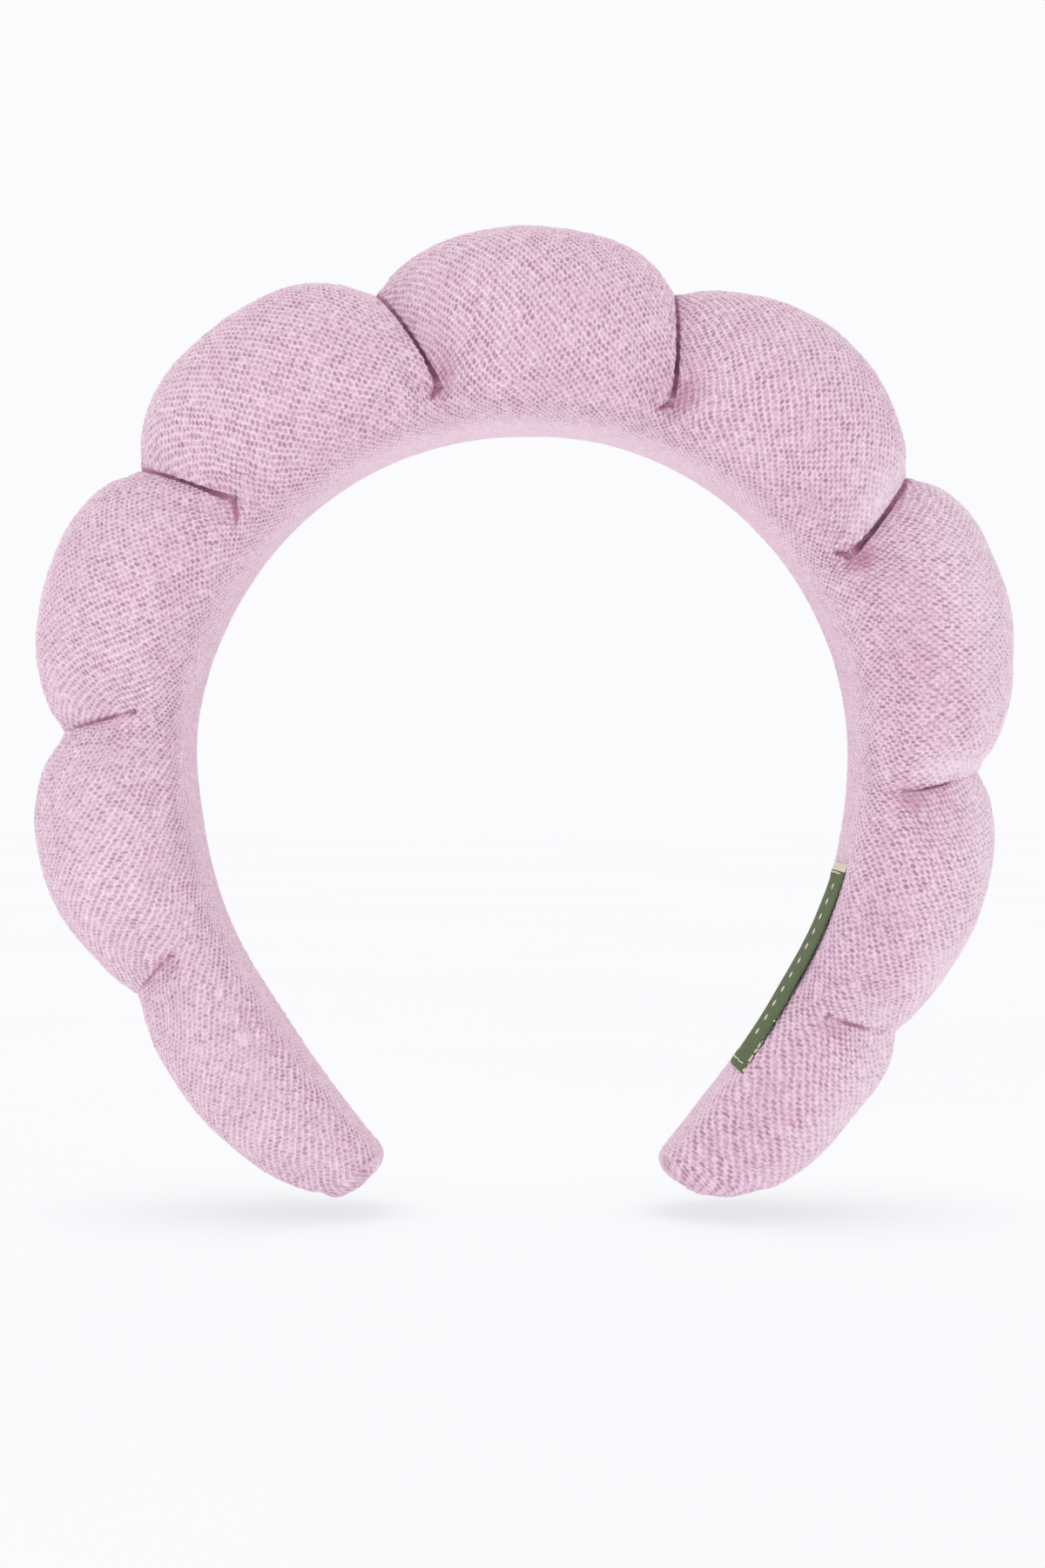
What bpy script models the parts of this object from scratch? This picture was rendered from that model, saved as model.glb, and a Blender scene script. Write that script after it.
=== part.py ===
"""Padded spa headband: a springy open hoop in a looped terry tube, cinched into nine puffy lobes.

The hoop stands upright in the XZ plane, arch up and legs down; right is +X. Its axial width
runs along Y, with the front at -Y. The origin is on the inner face of the crown, on the pad
that rests on the head.

Sizes are in millimetres. A point on the hoop is given by:
  arc   distance along the inner guide line from the crown, positive towards +X
  y     axial position
  rise  height measured outwards from the guide line
"""
import math

import bmesh
import bpy
import numpy as np
from mathutils import Vector

MM = 0.001

# Inner guide line of one half: (radius, length) of each arc, from the crown to the leg.
GUIDE_ARCS = ((60.41, 61.4), (62.66, 43.2), (77.1, 32.8), (284.0, 42.6))

# Lobes of one side, from the crown down to the free tip.
ORDER = ("upper", "side", "lower", "tip")

# The four creases of each side, then its free end: (distance from the crown, padding height).
VALLEYS = {
    "left": ((18.7, 29.3), (56.0, 27.9), (93.3, 23.8), (131.9, 20.8), (179.0, 13.5)),
    "right": ((20.0, 29.7), (57.2, 27.2), (97.6, 23.3), (138.2, 21.3), (180.5, 13.5)),
}

# How far each lobe's crest stands above the line between its two valleys.
SWELL = {
    "crown": 8.1,
    "left_upper": 8.9, "left_side": 7.4, "left_lower": 7.5, "left_tip": 5.4,
    "right_upper": 8.9, "right_side": 7.6, "right_lower": 5.0, "right_tip": 5.6,
}

# Padding section.
# (distance from the crown, axial half width at the crest of the lobes)
PADDING_HALF = ((0.0, 24.0), (38.0, 23.6), (76.0, 22.4), (114.0, 20.0), (150.0, 16.6), (181.0, 12.6))
VALLEY_PINCH = 3.2          # the sides draw in this much at a crease
TIP_PINCH = 1.2             # and this much at a free tip
WIDEST_AT = 0.42            # height of the widest line, as a share of the padding height
SIDE_POWER = 0.80           # section exponents: side, inner face, outer face
INNER_POWER = 0.62
OUTER_POWER = 0.92
RING = 16                   # points round the section
ANGLE_STEP = 0.02           # half step for the skin's slope, radians

# Stations along a lobe, as shares of its half length from its middle.
STATION_SHARES = (-1.0, -0.82, -0.45, 0.0, 0.45, 0.82, 1.0)
PAD_HALF = 3.0              # half length of the flat facet inside the crown
CROWN_INSETS = (3.2, 9.5)   # crown stations next to each crease

# Cover, foam and core.
COVER_WALL = 1.2
CLEAR = 0.35
FOAM_CLEAR = 0.75           # the sponge stands off the cover wall by this much
FOAM_INSET = COVER_WALL + FOAM_CLEAR
FOAM_STOP = 3.2             # the foam ends this far short of the tip
CORE_MID = 5.0              # height of the core band's middle surface, where the hoop flexes
CORE_THICK = 2.0
CORE_HALF = ((0.0, 11.0), (120.0, 9.5), (181.0, 6.5))   # (distance from the crown, half width)
CORE_STOP = 8.0             # the core ends this far short of the tip
CORE_STEPS = 6
SLOT_OVERRUN = 4.0          # the slot cutter runs past both ends of its lobe
CLOSURE_DEPTHS = (0.3, 1.4)  # outer and inner face of an end closure, from the tip
SHARP_DEG = 40              # edges steeper than this stay sharp

# Flex at each crease: the gap at the core, and how the wedge opens outside and inside it.
HINGE_GAP = 0.42
SPREAD_DEG = 5.0
SQUEEZE_DEG = 2.0

# Threads.
CINCH_RADIUS = 0.40
CINCH_LIFT = 1.75
CINCH_STEPS = 14
TACK_HEIGHT = 9.2           # the cinch ends here, or at the widest line where that is lower
SEAM_RADIUS = 0.30
SEAM_ANGLE = math.radians(38)
SEAM_GAP_SCALE = 1.6        # the seam stops further short of a crease than the cover does

# Label, folded over the last right crease.
LABEL_FROM, LABEL_TO = 114.6, 156.4
LABEL_GAP_HALF = 0.5
LABEL_WIDTH = 11.5
LABEL_THICK = 0.5
LABEL_MID_FROM, LABEL_MID_TO = -5.4, -7.4   # its middle line drifts towards the front (-Y)
LABEL_ROWS, LABEL_COLS = 6, 5
STITCH_RADIUS = 0.2
STITCH_INSET = 1.6
STITCH_SHARE = 0.86         # share of the label's width that is stitched
STITCH_LIFT = 0.5
STITCH_STEPS = 6

# Finishes.
TERRY = dict(colour=(0.70, 0.44, 0.58), roughness=0.95)
SPONGE = dict(colour=(0.86, 0.80, 0.72), roughness=1.0)
PLASTIC = dict(colour=(0.78, 0.78, 0.76), roughness=0.45)
THREAD = dict(colour=(0.62, 0.38, 0.50), roughness=0.8)
GREEN_WEAVE = dict(colour=(0.11, 0.17, 0.085), roughness=0.75)
CREAM_STITCH = dict(colour=(0.80, 0.76, 0.62), roughness=0.7)

# Each lobe's neighbour on the crown side, which carries it.
CARRIER = {
    f"{side}_{part}": "crown" if k == 0 else f"{side}_{ORDER[k - 1]}"
    for side in VALLEYS for k, part in enumerate(ORDER)
}
BODIES = ("crown", *CARRIER)


# ---------------------------------------------------------------- hoop geometry
def guide(arc):
    """Point, tangent and outward normal of the guide line, in XZ."""
    side = -1.0 if arc < 0 else 1.0
    remaining = abs(arc)
    x = z = heading = 0.0
    for i, (radius, length) in enumerate(GUIDE_ARCS):
        is_last = i == len(GUIDE_ARCS) - 1
        run = remaining if is_last else min(remaining, length)
        turned = heading + run / radius
        x += radius * (math.sin(turned) - math.sin(heading))
        z += radius * (math.cos(turned) - math.cos(heading))
        heading = turned
        remaining -= run
    tangent = (math.cos(heading), -side * math.sin(heading))
    normal = (side * math.sin(heading), math.cos(heading))
    return (side * x, z), tangent, normal


def taper(rows, arc):
    """Value at arc in a table of (distance from the crown, value)."""
    distances, values = zip(*rows)
    return float(np.interp(abs(arc), distances, values))


def span(body):
    """Signed start and end of a lobe along the guide, with its valley heights there."""
    if body == "crown":
        (left, left_height), (right, right_height) = VALLEYS["left"][0], VALLEYS["right"][0]
        return -left, right, left_height, right_height
    side, part = body.split("_")
    k = ORDER.index(part)
    (near, near_height), (far, far_height) = VALLEYS[side][k:k + 2]
    if side == "left":
        return -far, -near, far_height, near_height
    return near, far, near_height, far_height


def lobe_share(body, arc):
    """Position along a lobe, from -1 at its start to 1 at its end."""
    start, end, _, _ = span(body)
    return (2.0 * arc - start - end) / (end - start)


def padding_height(body, arc):
    _, _, start_height, end_height = span(body)
    share = lobe_share(body, arc)
    base = start_height + (end_height - start_height) * (share + 1) / 2
    return base + SWELL[body] * (1 - share * share)


def half_width(body, arc):
    share = lobe_share(body, arc)
    towards_tip = share if body.startswith("right") else -share
    at_tip = body.endswith("tip") and towards_tip > 0
    pinch = TIP_PINCH if at_tip else VALLEY_PINCH
    return taper(PADDING_HALF, arc) - pinch * abs(share) ** 3


def section(body, arc, angle, lift=0.0):
    """(y, rise) of the cover's outer skin at an angle round the section, lifted off the skin.

    Angle 0 is the middle of the inner face, pi the crest, positive angles the back (+Y) side.
    """
    height = padding_height(body, arc)
    width = half_width(body, arc)
    middle = height * WIDEST_AT

    def skin(turn):
        cosine, sine = math.cos(turn), math.sin(turn)
        y = width * math.copysign(abs(sine) ** SIDE_POWER, sine)
        if cosine >= 0:
            return y, middle - middle * cosine ** INNER_POWER
        return y, middle + (height - middle) * abs(cosine) ** OUTER_POWER

    y, rise = skin(angle)
    if lift:
        y_before, rise_before = skin(angle - ANGLE_STEP)
        y_after, rise_after = skin(angle + ANGLE_STEP)
        slope_y, slope_rise = y_after - y_before, rise_after - rise_before
        size = math.hypot(slope_y, slope_rise)
        y += lift * slope_rise / size
        rise -= lift * slope_y / size
    return y, rise


RING_ANGLES = [2 * math.pi * (k + 0.5) / RING for k in range(RING)]


def pad_level():
    """Z of the crown's flat inner facet, measured from the guide line's top."""
    (_, z), _, normal = guide(PAD_HALF)
    _, rise = section("crown", PAD_HALF, RING_ANGLES[0])
    return z + rise * normal[1]


PAD_Z = pad_level()


def place(arc, y, rise, shift=0.0):
    """World position in metres of a hoop point, moved along the tangent by shift."""
    (x, z), tangent, normal = guide(arc)
    return Vector(((x + rise * normal[0] + shift * tangent[0]) * MM, y * MM,
                   (z + rise * normal[1] + shift * tangent[1] - PAD_Z) * MM))


def crease_gap(rise):
    """Half of the wedge that two lobes leave between them, so the crease can flex."""
    flare = SPREAD_DEG if rise >= CORE_MID else SQUEEZE_DEG
    return 0.5 * (HINGE_GAP + abs(rise - CORE_MID) * math.tan(math.radians(flare)))


def end_shift(body, arc, rise):
    """Shift that opens the wedge at a crease; zero at a free tip and inside the lobe."""
    start, end, _, _ = span(body)
    if abs(arc - start) < 1e-6 and body != "left_tip":
        return crease_gap(rise)
    if abs(arc - end) < 1e-6 and body != "right_tip":
        return -crease_gap(rise)
    return 0.0


def stations(body):
    start, end, _, _ = span(body)
    if body == "crown":
        near, far = CROWN_INSETS
        return [start, start + near, start + far, -PAD_HALF, PAD_HALF, end - far, end - near, end]
    middle, half = 0.5 * (start + end), 0.5 * (end - start)
    return [middle + half * share for share in STATION_SHARES]


def trim_tip(body, arcs, amount):
    """The same arcs, with the one at a free tip drawn back by amount."""
    arcs = list(arcs)
    if body == "left_tip":
        arcs[0] += amount
    if body == "right_tip":
        arcs[-1] -= amount
    return arcs


def pivot(body):
    """Hinge point of a lobe: on the core's middle surface at the crease nearer the crown."""
    if body == "crown":
        return Vector((0, 0, 0))
    start, end, _, _ = span(body)
    return place(end if body.startswith("left") else start, 0.0, CORE_MID)


# ---------------------------------------------------------------- scene and helpers
for old in list(bpy.data.objects):
    bpy.data.objects.remove(old, do_unlink=True)

parts = bpy.data.collections.new("spa_headband")
cutters = bpy.data.collections.new("spa_headband_cutters")
for collection in (parts, cutters):
    bpy.context.scene.collection.children.link(collection)

pivots = {}
for body in BODIES:
    empty = bpy.data.objects.new("pivot_" + body, None)
    empty.empty_display_size = 0.01
    parts.objects.link(empty)
    pivots[body] = empty
    if body in CARRIER:
        empty.parent = pivots[CARRIER[body]]
        empty.location = pivot(body) - pivot(CARRIER[body])


def material(name, colour, roughness):
    made = bpy.data.materials.new(name)
    made.use_nodes = True
    shader = made.node_tree.nodes["Principled BSDF"]
    shader.inputs["Base Color"].default_value = (*colour, 1.0)
    shader.inputs["Roughness"].default_value = roughness
    return made


def add_mesh(name, body, verts, faces, finish=None, collection=parts):
    """A mesh whose origin is its lobe's pivot."""
    origin = pivot(body)
    mesh = bpy.data.meshes.new(name)
    mesh.from_pydata([tuple(point - origin) for point in verts], [], faces)
    editable = bmesh.new()
    editable.from_mesh(mesh)
    bmesh.ops.recalc_face_normals(editable, faces=editable.faces)
    editable.to_mesh(mesh)
    editable.free()
    obj = bpy.data.objects.new(name, mesh)
    collection.objects.link(obj)
    obj.parent = pivots[body]
    if finish is not None:
        mesh.materials.append(finish)
    return obj


def add_thread(name, body, points, radius, finish):
    """A thread through the points, as a bevelled curve with its origin at the pivot."""
    data = bpy.data.curves.new(name, "CURVE")
    data.dimensions = "3D"
    line = data.splines.new("POLY")
    line.points.add(len(points) - 1)
    origin = pivot(body)
    for knot, point in zip(line.points, points):
        knot.co = (*(point - origin), 1.0)
    data.bevel_depth = radius * MM
    data.bevel_resolution = 0
    data.use_fill_caps = True
    data.materials.append(finish)
    obj = bpy.data.objects.new(name, data)
    parts.objects.link(obj)
    obj.parent = pivots[body]


def loft_faces(rings, capped):
    """Faces over successive section rings."""
    faces = []
    for i in range(rings - 1):
        low, high = i * RING, (i + 1) * RING
        for k in range(RING):
            m = (k + 1) % RING
            faces.append((low + k, low + m, high + m, high + k))
    if capped:
        faces.append(tuple(range(RING)))
        faces.append(tuple(range((rings - 1) * RING, rings * RING)))
    return faces


def grid_faces(rows, cols):
    """Faces over a sheet of points listed row by row."""
    corners = [i * cols + j for i in range(rows - 1) for j in range(cols - 1)]
    return [(k, k + 1, k + cols + 1, k + cols) for k in corners]


def smooth(obj):
    obj.data.shade_smooth()
    obj.data.set_sharp_from_angle(angle=math.radians(SHARP_DEG))


def solidify(obj, thick, offset):
    wall = obj.modifiers.new("wall", "SOLIDIFY")
    wall.thickness = thick * MM
    wall.offset = offset
    wall.use_even_offset = True


# ---------------------------------------------------------------- cover, core and foam
def tube_points(body, arcs, lift):
    """Section rings along a lobe."""
    verts = []
    for arc in arcs:
        for angle in RING_ANGLES:
            y, rise = section(body, arc, angle, lift)
            verts.append(place(arc, y, rise, end_shift(body, arc, rise)))
    return verts


def strip_points(body, low, high, extra_half):
    """Pairs of edge points along the core's middle surface."""
    verts = []
    for i in range(CORE_STEPS + 1):
        arc = low + (high - low) * i / CORE_STEPS
        shift = end_shift(body, arc, CORE_MID + 0.5 * CORE_THICK)
        half = taper(CORE_HALF, arc) + extra_half
        verts += [place(arc, y, CORE_MID, shift) for y in (-half, half)]
    return verts


def build_cover(body):
    """Terry cover: one length of the knitted tube, open at both ends."""
    arcs = stations(body)
    cover = add_mesh("cover_" + body, body, tube_points(body, arcs, 0.0),
                     loft_faces(len(arcs), capped=False), material("terry_" + body, **TERRY))
    solidify(cover, COVER_WALL, offset=-1.0)
    smooth(cover)


def build_core(body):
    """Core band: a flat springy strip, a little short of the tips."""
    low, high = trim_tip(body, span(body)[:2], CORE_STOP)
    core = add_mesh("core_" + body, body, strip_points(body, low, high, 0.0),
                    grid_faces(CORE_STEPS + 1, 2), material("core_plastic_" + body, **PLASTIC))
    solidify(core, CORE_THICK, offset=0.0)


def build_slot(body):
    """Cutter for the core's slot, with clearance all round."""
    start, end, _, _ = span(body)
    verts = strip_points(body, start - SLOT_OVERRUN, end + SLOT_OVERRUN, CLEAR)
    slot = add_mesh("slot_" + body, body, verts, grid_faces(CORE_STEPS + 1, 2),
                    collection=cutters)
    solidify(slot, CORE_THICK + 2 * CLEAR, offset=0.0)
    slot.hide_render = True
    slot.display_type = "WIRE"
    return slot


def build_foam(body):
    """Foam sleeve: fills the cover and is slotted for the core band."""
    arcs = trim_tip(body, stations(body), FOAM_STOP)
    foam = add_mesh("foam_" + body, body, tube_points(body, arcs, -FOAM_INSET),
                    loft_faces(len(arcs), capped=True), material("sponge_" + body, **SPONGE))
    cut = foam.modifiers.new("slot", "BOOLEAN")
    cut.operation = "DIFFERENCE"
    cut.solver = "EXACT"
    cut.object = build_slot(body)
    smooth(foam)


def build_seam(body):
    """Thread that shuts the cover tube, on the inner shoulder towards the back."""
    points = []
    for arc in stations(body):
        y, rise = section(body, arc, SEAM_ANGLE, SEAM_RADIUS + CLEAR)
        points.append(place(arc, y, rise, SEAM_GAP_SCALE * end_shift(body, arc, rise)))
    add_thread("seam_thread_" + body, body, points, SEAM_RADIUS,
               material("thread_" + body, **THREAD))


for body in BODIES:
    build_cover(body)
    build_core(body)
    build_foam(body)
    build_seam(body)


# ---------------------------------------------------------------- end closures
def build_closure(side):
    """Plug inside the open end of a tip's cover."""
    body = side + "_tip"
    start, end, _, _ = span(body)
    tip, inward = (start, 1.0) if side == "left" else (end, -1.0)
    outline = [section(body, tip, angle, -FOAM_INSET) for angle in RING_ANGLES]
    verts = [place(tip + inward * depth, y, rise)
             for depth in CLOSURE_DEPTHS for y, rise in outline]
    closure = add_mesh("end_closure_" + side, body, verts, loft_faces(2, capped=True),
                       material("closure_" + body, **TERRY))
    smooth(closure)


for side in VALLEYS:
    build_closure(side)


# ---------------------------------------------------------------- cinch threads
def build_cinch(side, k):
    """Thread over the outside of a crease, open across the inner face."""
    owner = CARRIER[f"{side}_{ORDER[k]}"]
    distance = VALLEYS[side][k][0]
    arc = -distance if side == "left" else distance
    middle = padding_height(owner, arc) * WIDEST_AT
    tack_share = max(0.0, 1 - TACK_HEIGHT / middle)
    start = math.acos(tack_share ** (1 / INNER_POWER))
    points = []
    for i in range(CINCH_STEPS + 1):
        angle = start + (2 * math.pi - 2 * start) * i / CINCH_STEPS
        points.append(place(arc, *section(owner, arc, angle, CINCH_LIFT)))
    add_thread(f"cinch_thread_{side}_{k + 1}", owner, points, CINCH_RADIUS,
               material(f"cinch_{side}_{k + 1}", **THREAD))


for side in VALLEYS:
    for k in range(len(ORDER)):
        build_cinch(side, k)


# ---------------------------------------------------------------- woven label
def label_point(body, arc, across, lift):
    """Point over the inner face, at a distance across from the label's middle line."""
    share = (arc - LABEL_FROM) / (LABEL_TO - LABEL_FROM)
    y = LABEL_MID_FROM + (LABEL_MID_TO - LABEL_MID_FROM) * share + across
    sine = (abs(y) / half_width(body, arc)) ** (1 / SIDE_POWER)
    angle = math.copysign(math.asin(sine), y)
    return place(arc, *section(body, arc, angle, lift))


def build_label(name, body, start, stop):
    verts = []
    for i in range(LABEL_ROWS):
        arc = start + (stop - start) * i / (LABEL_ROWS - 1)
        for j in range(LABEL_COLS):
            across = LABEL_WIDTH * (j / (LABEL_COLS - 1) - 0.5)
            verts.append(label_point(body, arc, across, CLEAR))
    label = add_mesh(name, body, verts, grid_faces(LABEL_ROWS, LABEL_COLS),
                     material(name + "_weave", **GREEN_WEAVE))
    # The sheet is open, so make it face off the padding before it is thickened that way.
    off_skin = label_point(body, start, 0.0, 5.0) - label_point(body, start, 0.0, 0.0)
    if label.data.polygons[0].normal.dot(off_skin) < 0:
        label.data.flip_normals()
    solidify(label, LABEL_THICK, offset=1.0)


def build_stitch(name, body, arc):
    """Row of stitching across one end of the label."""
    lift = CLEAR + LABEL_THICK + STITCH_LIFT
    points = [label_point(body, arc, LABEL_WIDTH * (j / STITCH_STEPS - 0.5) * STITCH_SHARE, lift)
              for j in range(STITCH_STEPS + 1)]
    add_thread(name, body, points, STITCH_RADIUS, material(name, **CREAM_STITCH))


label_crease = VALLEYS["right"][3][0]
build_label("label_upper", "right_lower", LABEL_FROM, label_crease - LABEL_GAP_HALF)
build_label("label_lower", "right_tip", label_crease + LABEL_GAP_HALF, LABEL_TO)
build_stitch("label_stitch_upper", "right_lower", LABEL_FROM + STITCH_INSET)
build_stitch("label_stitch_lower", "right_tip", LABEL_TO - STITCH_INSET)
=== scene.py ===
"""Looks of a padded spa headband, built round its CAD frame.

The band is an open hoop in the XZ plane, crown at the top and the two tips below; +X is its right,
-Y its front, and the origin is on the flat pad inside the crown. The terry cover is one gathered
tube: a fine (along, round) grid that follows the hoop, split at the middle of each lobe so that
every piece crosses one crease joint. Sizes are in millimetres, turned into metres in the meshes.

hoop  distance along the guide line from the middle of the crown, growing to the right
out   distance from the guide line, away from the middle of the hoop
phi   angle round the section: 0 inner face, 90 degrees back, 180 crest, 270 front
"""
import math
from collections import namedtuple
from types import SimpleNamespace

import bmesh
import bpy
import numpy as np
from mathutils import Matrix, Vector
from mathutils.kdtree import KDTree


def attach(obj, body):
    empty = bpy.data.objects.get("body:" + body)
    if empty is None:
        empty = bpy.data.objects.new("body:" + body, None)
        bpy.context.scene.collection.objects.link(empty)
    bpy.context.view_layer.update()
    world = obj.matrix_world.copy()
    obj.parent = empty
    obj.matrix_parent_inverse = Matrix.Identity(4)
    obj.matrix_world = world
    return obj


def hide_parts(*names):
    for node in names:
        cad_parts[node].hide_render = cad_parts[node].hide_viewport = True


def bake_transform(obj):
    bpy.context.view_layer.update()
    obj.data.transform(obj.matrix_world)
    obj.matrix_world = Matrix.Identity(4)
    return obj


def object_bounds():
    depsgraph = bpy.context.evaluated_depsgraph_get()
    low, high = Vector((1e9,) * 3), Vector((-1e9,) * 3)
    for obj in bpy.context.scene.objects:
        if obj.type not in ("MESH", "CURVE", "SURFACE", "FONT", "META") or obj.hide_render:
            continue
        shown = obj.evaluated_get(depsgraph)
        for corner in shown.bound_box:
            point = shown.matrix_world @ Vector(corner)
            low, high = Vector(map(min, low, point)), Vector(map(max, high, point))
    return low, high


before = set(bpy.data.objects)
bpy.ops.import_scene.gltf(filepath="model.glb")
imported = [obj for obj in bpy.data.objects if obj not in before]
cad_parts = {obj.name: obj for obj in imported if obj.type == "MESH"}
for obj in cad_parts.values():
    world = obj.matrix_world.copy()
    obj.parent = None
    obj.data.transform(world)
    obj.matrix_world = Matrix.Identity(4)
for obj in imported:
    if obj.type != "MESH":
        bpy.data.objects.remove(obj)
CAD_LO, CAD_HI = [list(corner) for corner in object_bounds()]
scene = bpy.context.scene
MM = 0.001
TAU = 2 * math.pi

# ------------------------------------------------------------------ sizes of the hoop
# Guide line from the crown down either side: radius, length; the last arc runs on past the tip
ARCS = ((60.41, 61.4), (62.66, 43.2), (77.1, 32.8), (284.0, math.inf))
# Half width of the band (along Y): distance from the crown, half width
HALF_WIDTH = ((0.0, 24.0), (38.0, 23.6), (76.0, 22.4), (114.0, 20.0), (150.0, 16.6), (181.0, 12.6))
WIDEST_AT = 0.42                 # share of the height at which the section is widest
SIDE_POWER, INNER_POWER, OUTER_POWER = 0.80, 0.62, 0.92
ROUND_SECTION = (34.0, 14.3, 22.8)   # height, widest height, half width: spaces the rows evenly
SHIFT_SECTION = (29.0, 14.0, 22.8)   # the same, for how creases run from crest to tack
SHIFT_FOOT = 7.6                 # height at which a crease has run its full way sideways

# The CAD crown lobe, which sets the height of the origin
CAD_CROWN = (-18.7, 20.0)
CAD_VALLEYS = (29.3, 29.7)
CAD_SWELL = 8.1
PAD_HALF = 3.0                   # half length of the flat pad
PAD_PHI = math.pi / 16           # half angle of the flat pad

# One row per crease, left end to right end.
# place: hoop distance; valley: height there; shift: the tack's shift to the right on the front;
# fold: fold depth; proud: which side stands proud, and how much; pinch: how far the sides draw in;
# tack: degrees from the middle of the inner face; dark: darkness of the painted shade along the fold
# line; reach: how far up from the tack the line goes (1 = crest); hook: length of its hooked end;
# soft: width of the soft painted shade; lip: how pale the painted highlight is along the proud lip
Crease = namedtuple("Crease", "place valley shift fold proud pinch tack dark reach hook soft lip")
CREASES = [Crease(*row) for row in (
    (-176.7, 14.0, 0.0, 0.0, 0.0, 0.0, 70, 0.00, 1.0, 0.0, 0.0, 0.0),
    (-130.4, 20.4, 4.6, 0.7, -0.3, 3.0, 91, 0.30, 0.8, 1.2, 1.9, 0.0),
    (-92.0, 23.5, 4.8, 1.1, -0.5, 3.6, 85, 0.42, 0.95, 0.8, 0.9, 0.0),
    (-56.0, 27.4, 5.5, 2.0, -1.0, 4.6, 79, 0.66, 1.0, 6.4, 1.0, 0.0),
    (-18.8, 28.8, 5.3, 2.2, 1.0, 4.8, 72, 0.95, 1.2, 3.6, 1.5, 0.1),
    (18.9, 29.1, 5.2, 2.2, 1.0, 4.8, 73, 0.95, 1.2, 3.4, 1.9, 0.1),
    (56.6, 26.7, 5.0, 2.1, 1.0, 4.6, 75, 0.95, 1.2, 3.6, 2.8, 1.0),
    (97.0, 22.8, 4.0, 0.9, 0.28, 3.6, 82, 0.70, 0.38, 1.2, 3.8, 1.0),
    (136.0, 22.0, 4.4, 0.6, 0.35, 2.4, 85, 0.40, 0.45, 1.2, 2.3, 0.55),
    (177.2, 19.2, 0.0, 0.0, 0.0, 0.0, 70, 0.00, 1.0, 0.0, 0.0, 0.0),
)]
FOLDED = range(1, 9)             # the creases with a joint; 0 and 9 are the open ends

# One row per lobe, left to right.
# steps: grid steps along it; swell: crest above the valleys; rise_low, rise_high: how squarely
# the crest rises from the crease below and above; then the knit: degrees that the wales and the
# courses turn from the hoop's run, their spacing, and the wales' strength against the courses
Lobe = namedtuple("Lobe", "name steps swell rise_low rise_high "
                          "wale_turn course_turn wale_gap course_gap wales")
LOBES = [Lobe(*row) for row in (
    ("left_tip", 152, 5.5, 2.2, 1.8, 47, 45, 1.17, 0.94, 0.74),
    ("left_lower", 136, 7.7, 1.6, 2.4, 46, 46, 1.03, 0.84, 0.78),
    ("left_side", 144, 7.8, 2.4, 2.8, 51, 43, 1.04, 0.90, 0.60),
    ("left_upper", 152, 9.0, 2.6, 2.7, 54, 50, 1.01, 0.96, 0.58),
    ("crown", 160, 8.3, 2.6, 3.1, 54, 46, 1.00, 0.91, 0.68),
    ("right_upper", 152, 9.0, 1.85, 2.1, 54, 43, 1.04, 0.92, 0.74),
    ("right_side", 144, 8.4, 3.9, 2.1, 69, 46, 0.90, 0.98, 0.44),
    ("right_lower", 144, 5.1, 3.3, 1.22, 66, 45, 0.93, 1.17, 0.42),
    ("right_tip", 136, 3.5, 3.7, 2.6, 62, 47, 1.05, 1.48, 0.22),
)]

# The closed ends, by crease. facing: -1 left, 1 right; slant: how much further the outer side is
# drawn in; radius, rim_rings: rounding of the rim; flat_rings, dome: the face inside it;
# pucker: depth of its gathers; stitch_from, stitch_to: rings that the closing stitches lie between
End = namedtuple("End", "side facing slant radius rim_rings flat_rings dome pucker "
                        "stitch_from stitch_to")
ENDS = {0: End("left", -1.0, 1.0, 2.4, 8, 24, 0.35, 0.20, 16, 29),
        9: End("right", 1.0, 6.3, 3.6, 16, 16, 0.9, 0.08, 19, 30)}

ROWS = 416                       # points round the tube
STARTS = [0, *np.cumsum([lobe.steps for lobe in LOBES]).tolist()]   # grid column of each crease
TOTAL = STARTS[-1] + 1
SEAM_PHI = math.radians(38.0)    # the closing seam, on the inner shoulder towards the back
CLOTH_RADIUS = 62.0              # bend radius used to stretch the cloth over the outer side
FAR = 99.0                       # stands for "no crease near"
LOOP = 0.15                      # terry loop height
WALL = 1.3                       # cloth thickness
CAP_KNIT = 0.42                  # knit coordinate added per ring of an end cap
# How far the inner face stands off the core: hoop distance, gap
EASE_OFF = ((-180, 0.5), (-150, 0.4), (-122, 0.2), (-105, -0.2), (-88, 0.6), (-60, 0.0), (0, 0.0),
            (16, 0.5), (40, 0.8), (76, 0.7), (100, 0.1), (124, 0.5), (148, 0.7), (165, 0.3),
            (180, 0.5))
# Scale of the knit round the tube: distance from the crown, scale
KNIT_SCALE = ((0, 1.06), (40, 1.05), (80, 0.98), (120, 0.86), (150, 0.72), (180, 0.52))
# Wander of the knit along and round: strength, frequency, offset along, round, and third axis
WANDER_ALONG = ((1.5, 0.045, 3.1, 7.7, 1.5), (0.24, 0.42, 0, 0, 9.5), (0.15, 0.9, 0, 0, 3.1))
WANDER_ROUND = ((1.5, 0.045, 13.1, 2.7, 4.5), (0.24, 0.42, 9, 5, 12.5), (0.15, 0.9, 4, 0, 6.1))

NOISE_TABLE = np.random.RandomState(20260).rand(32, 32, 32)


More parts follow.
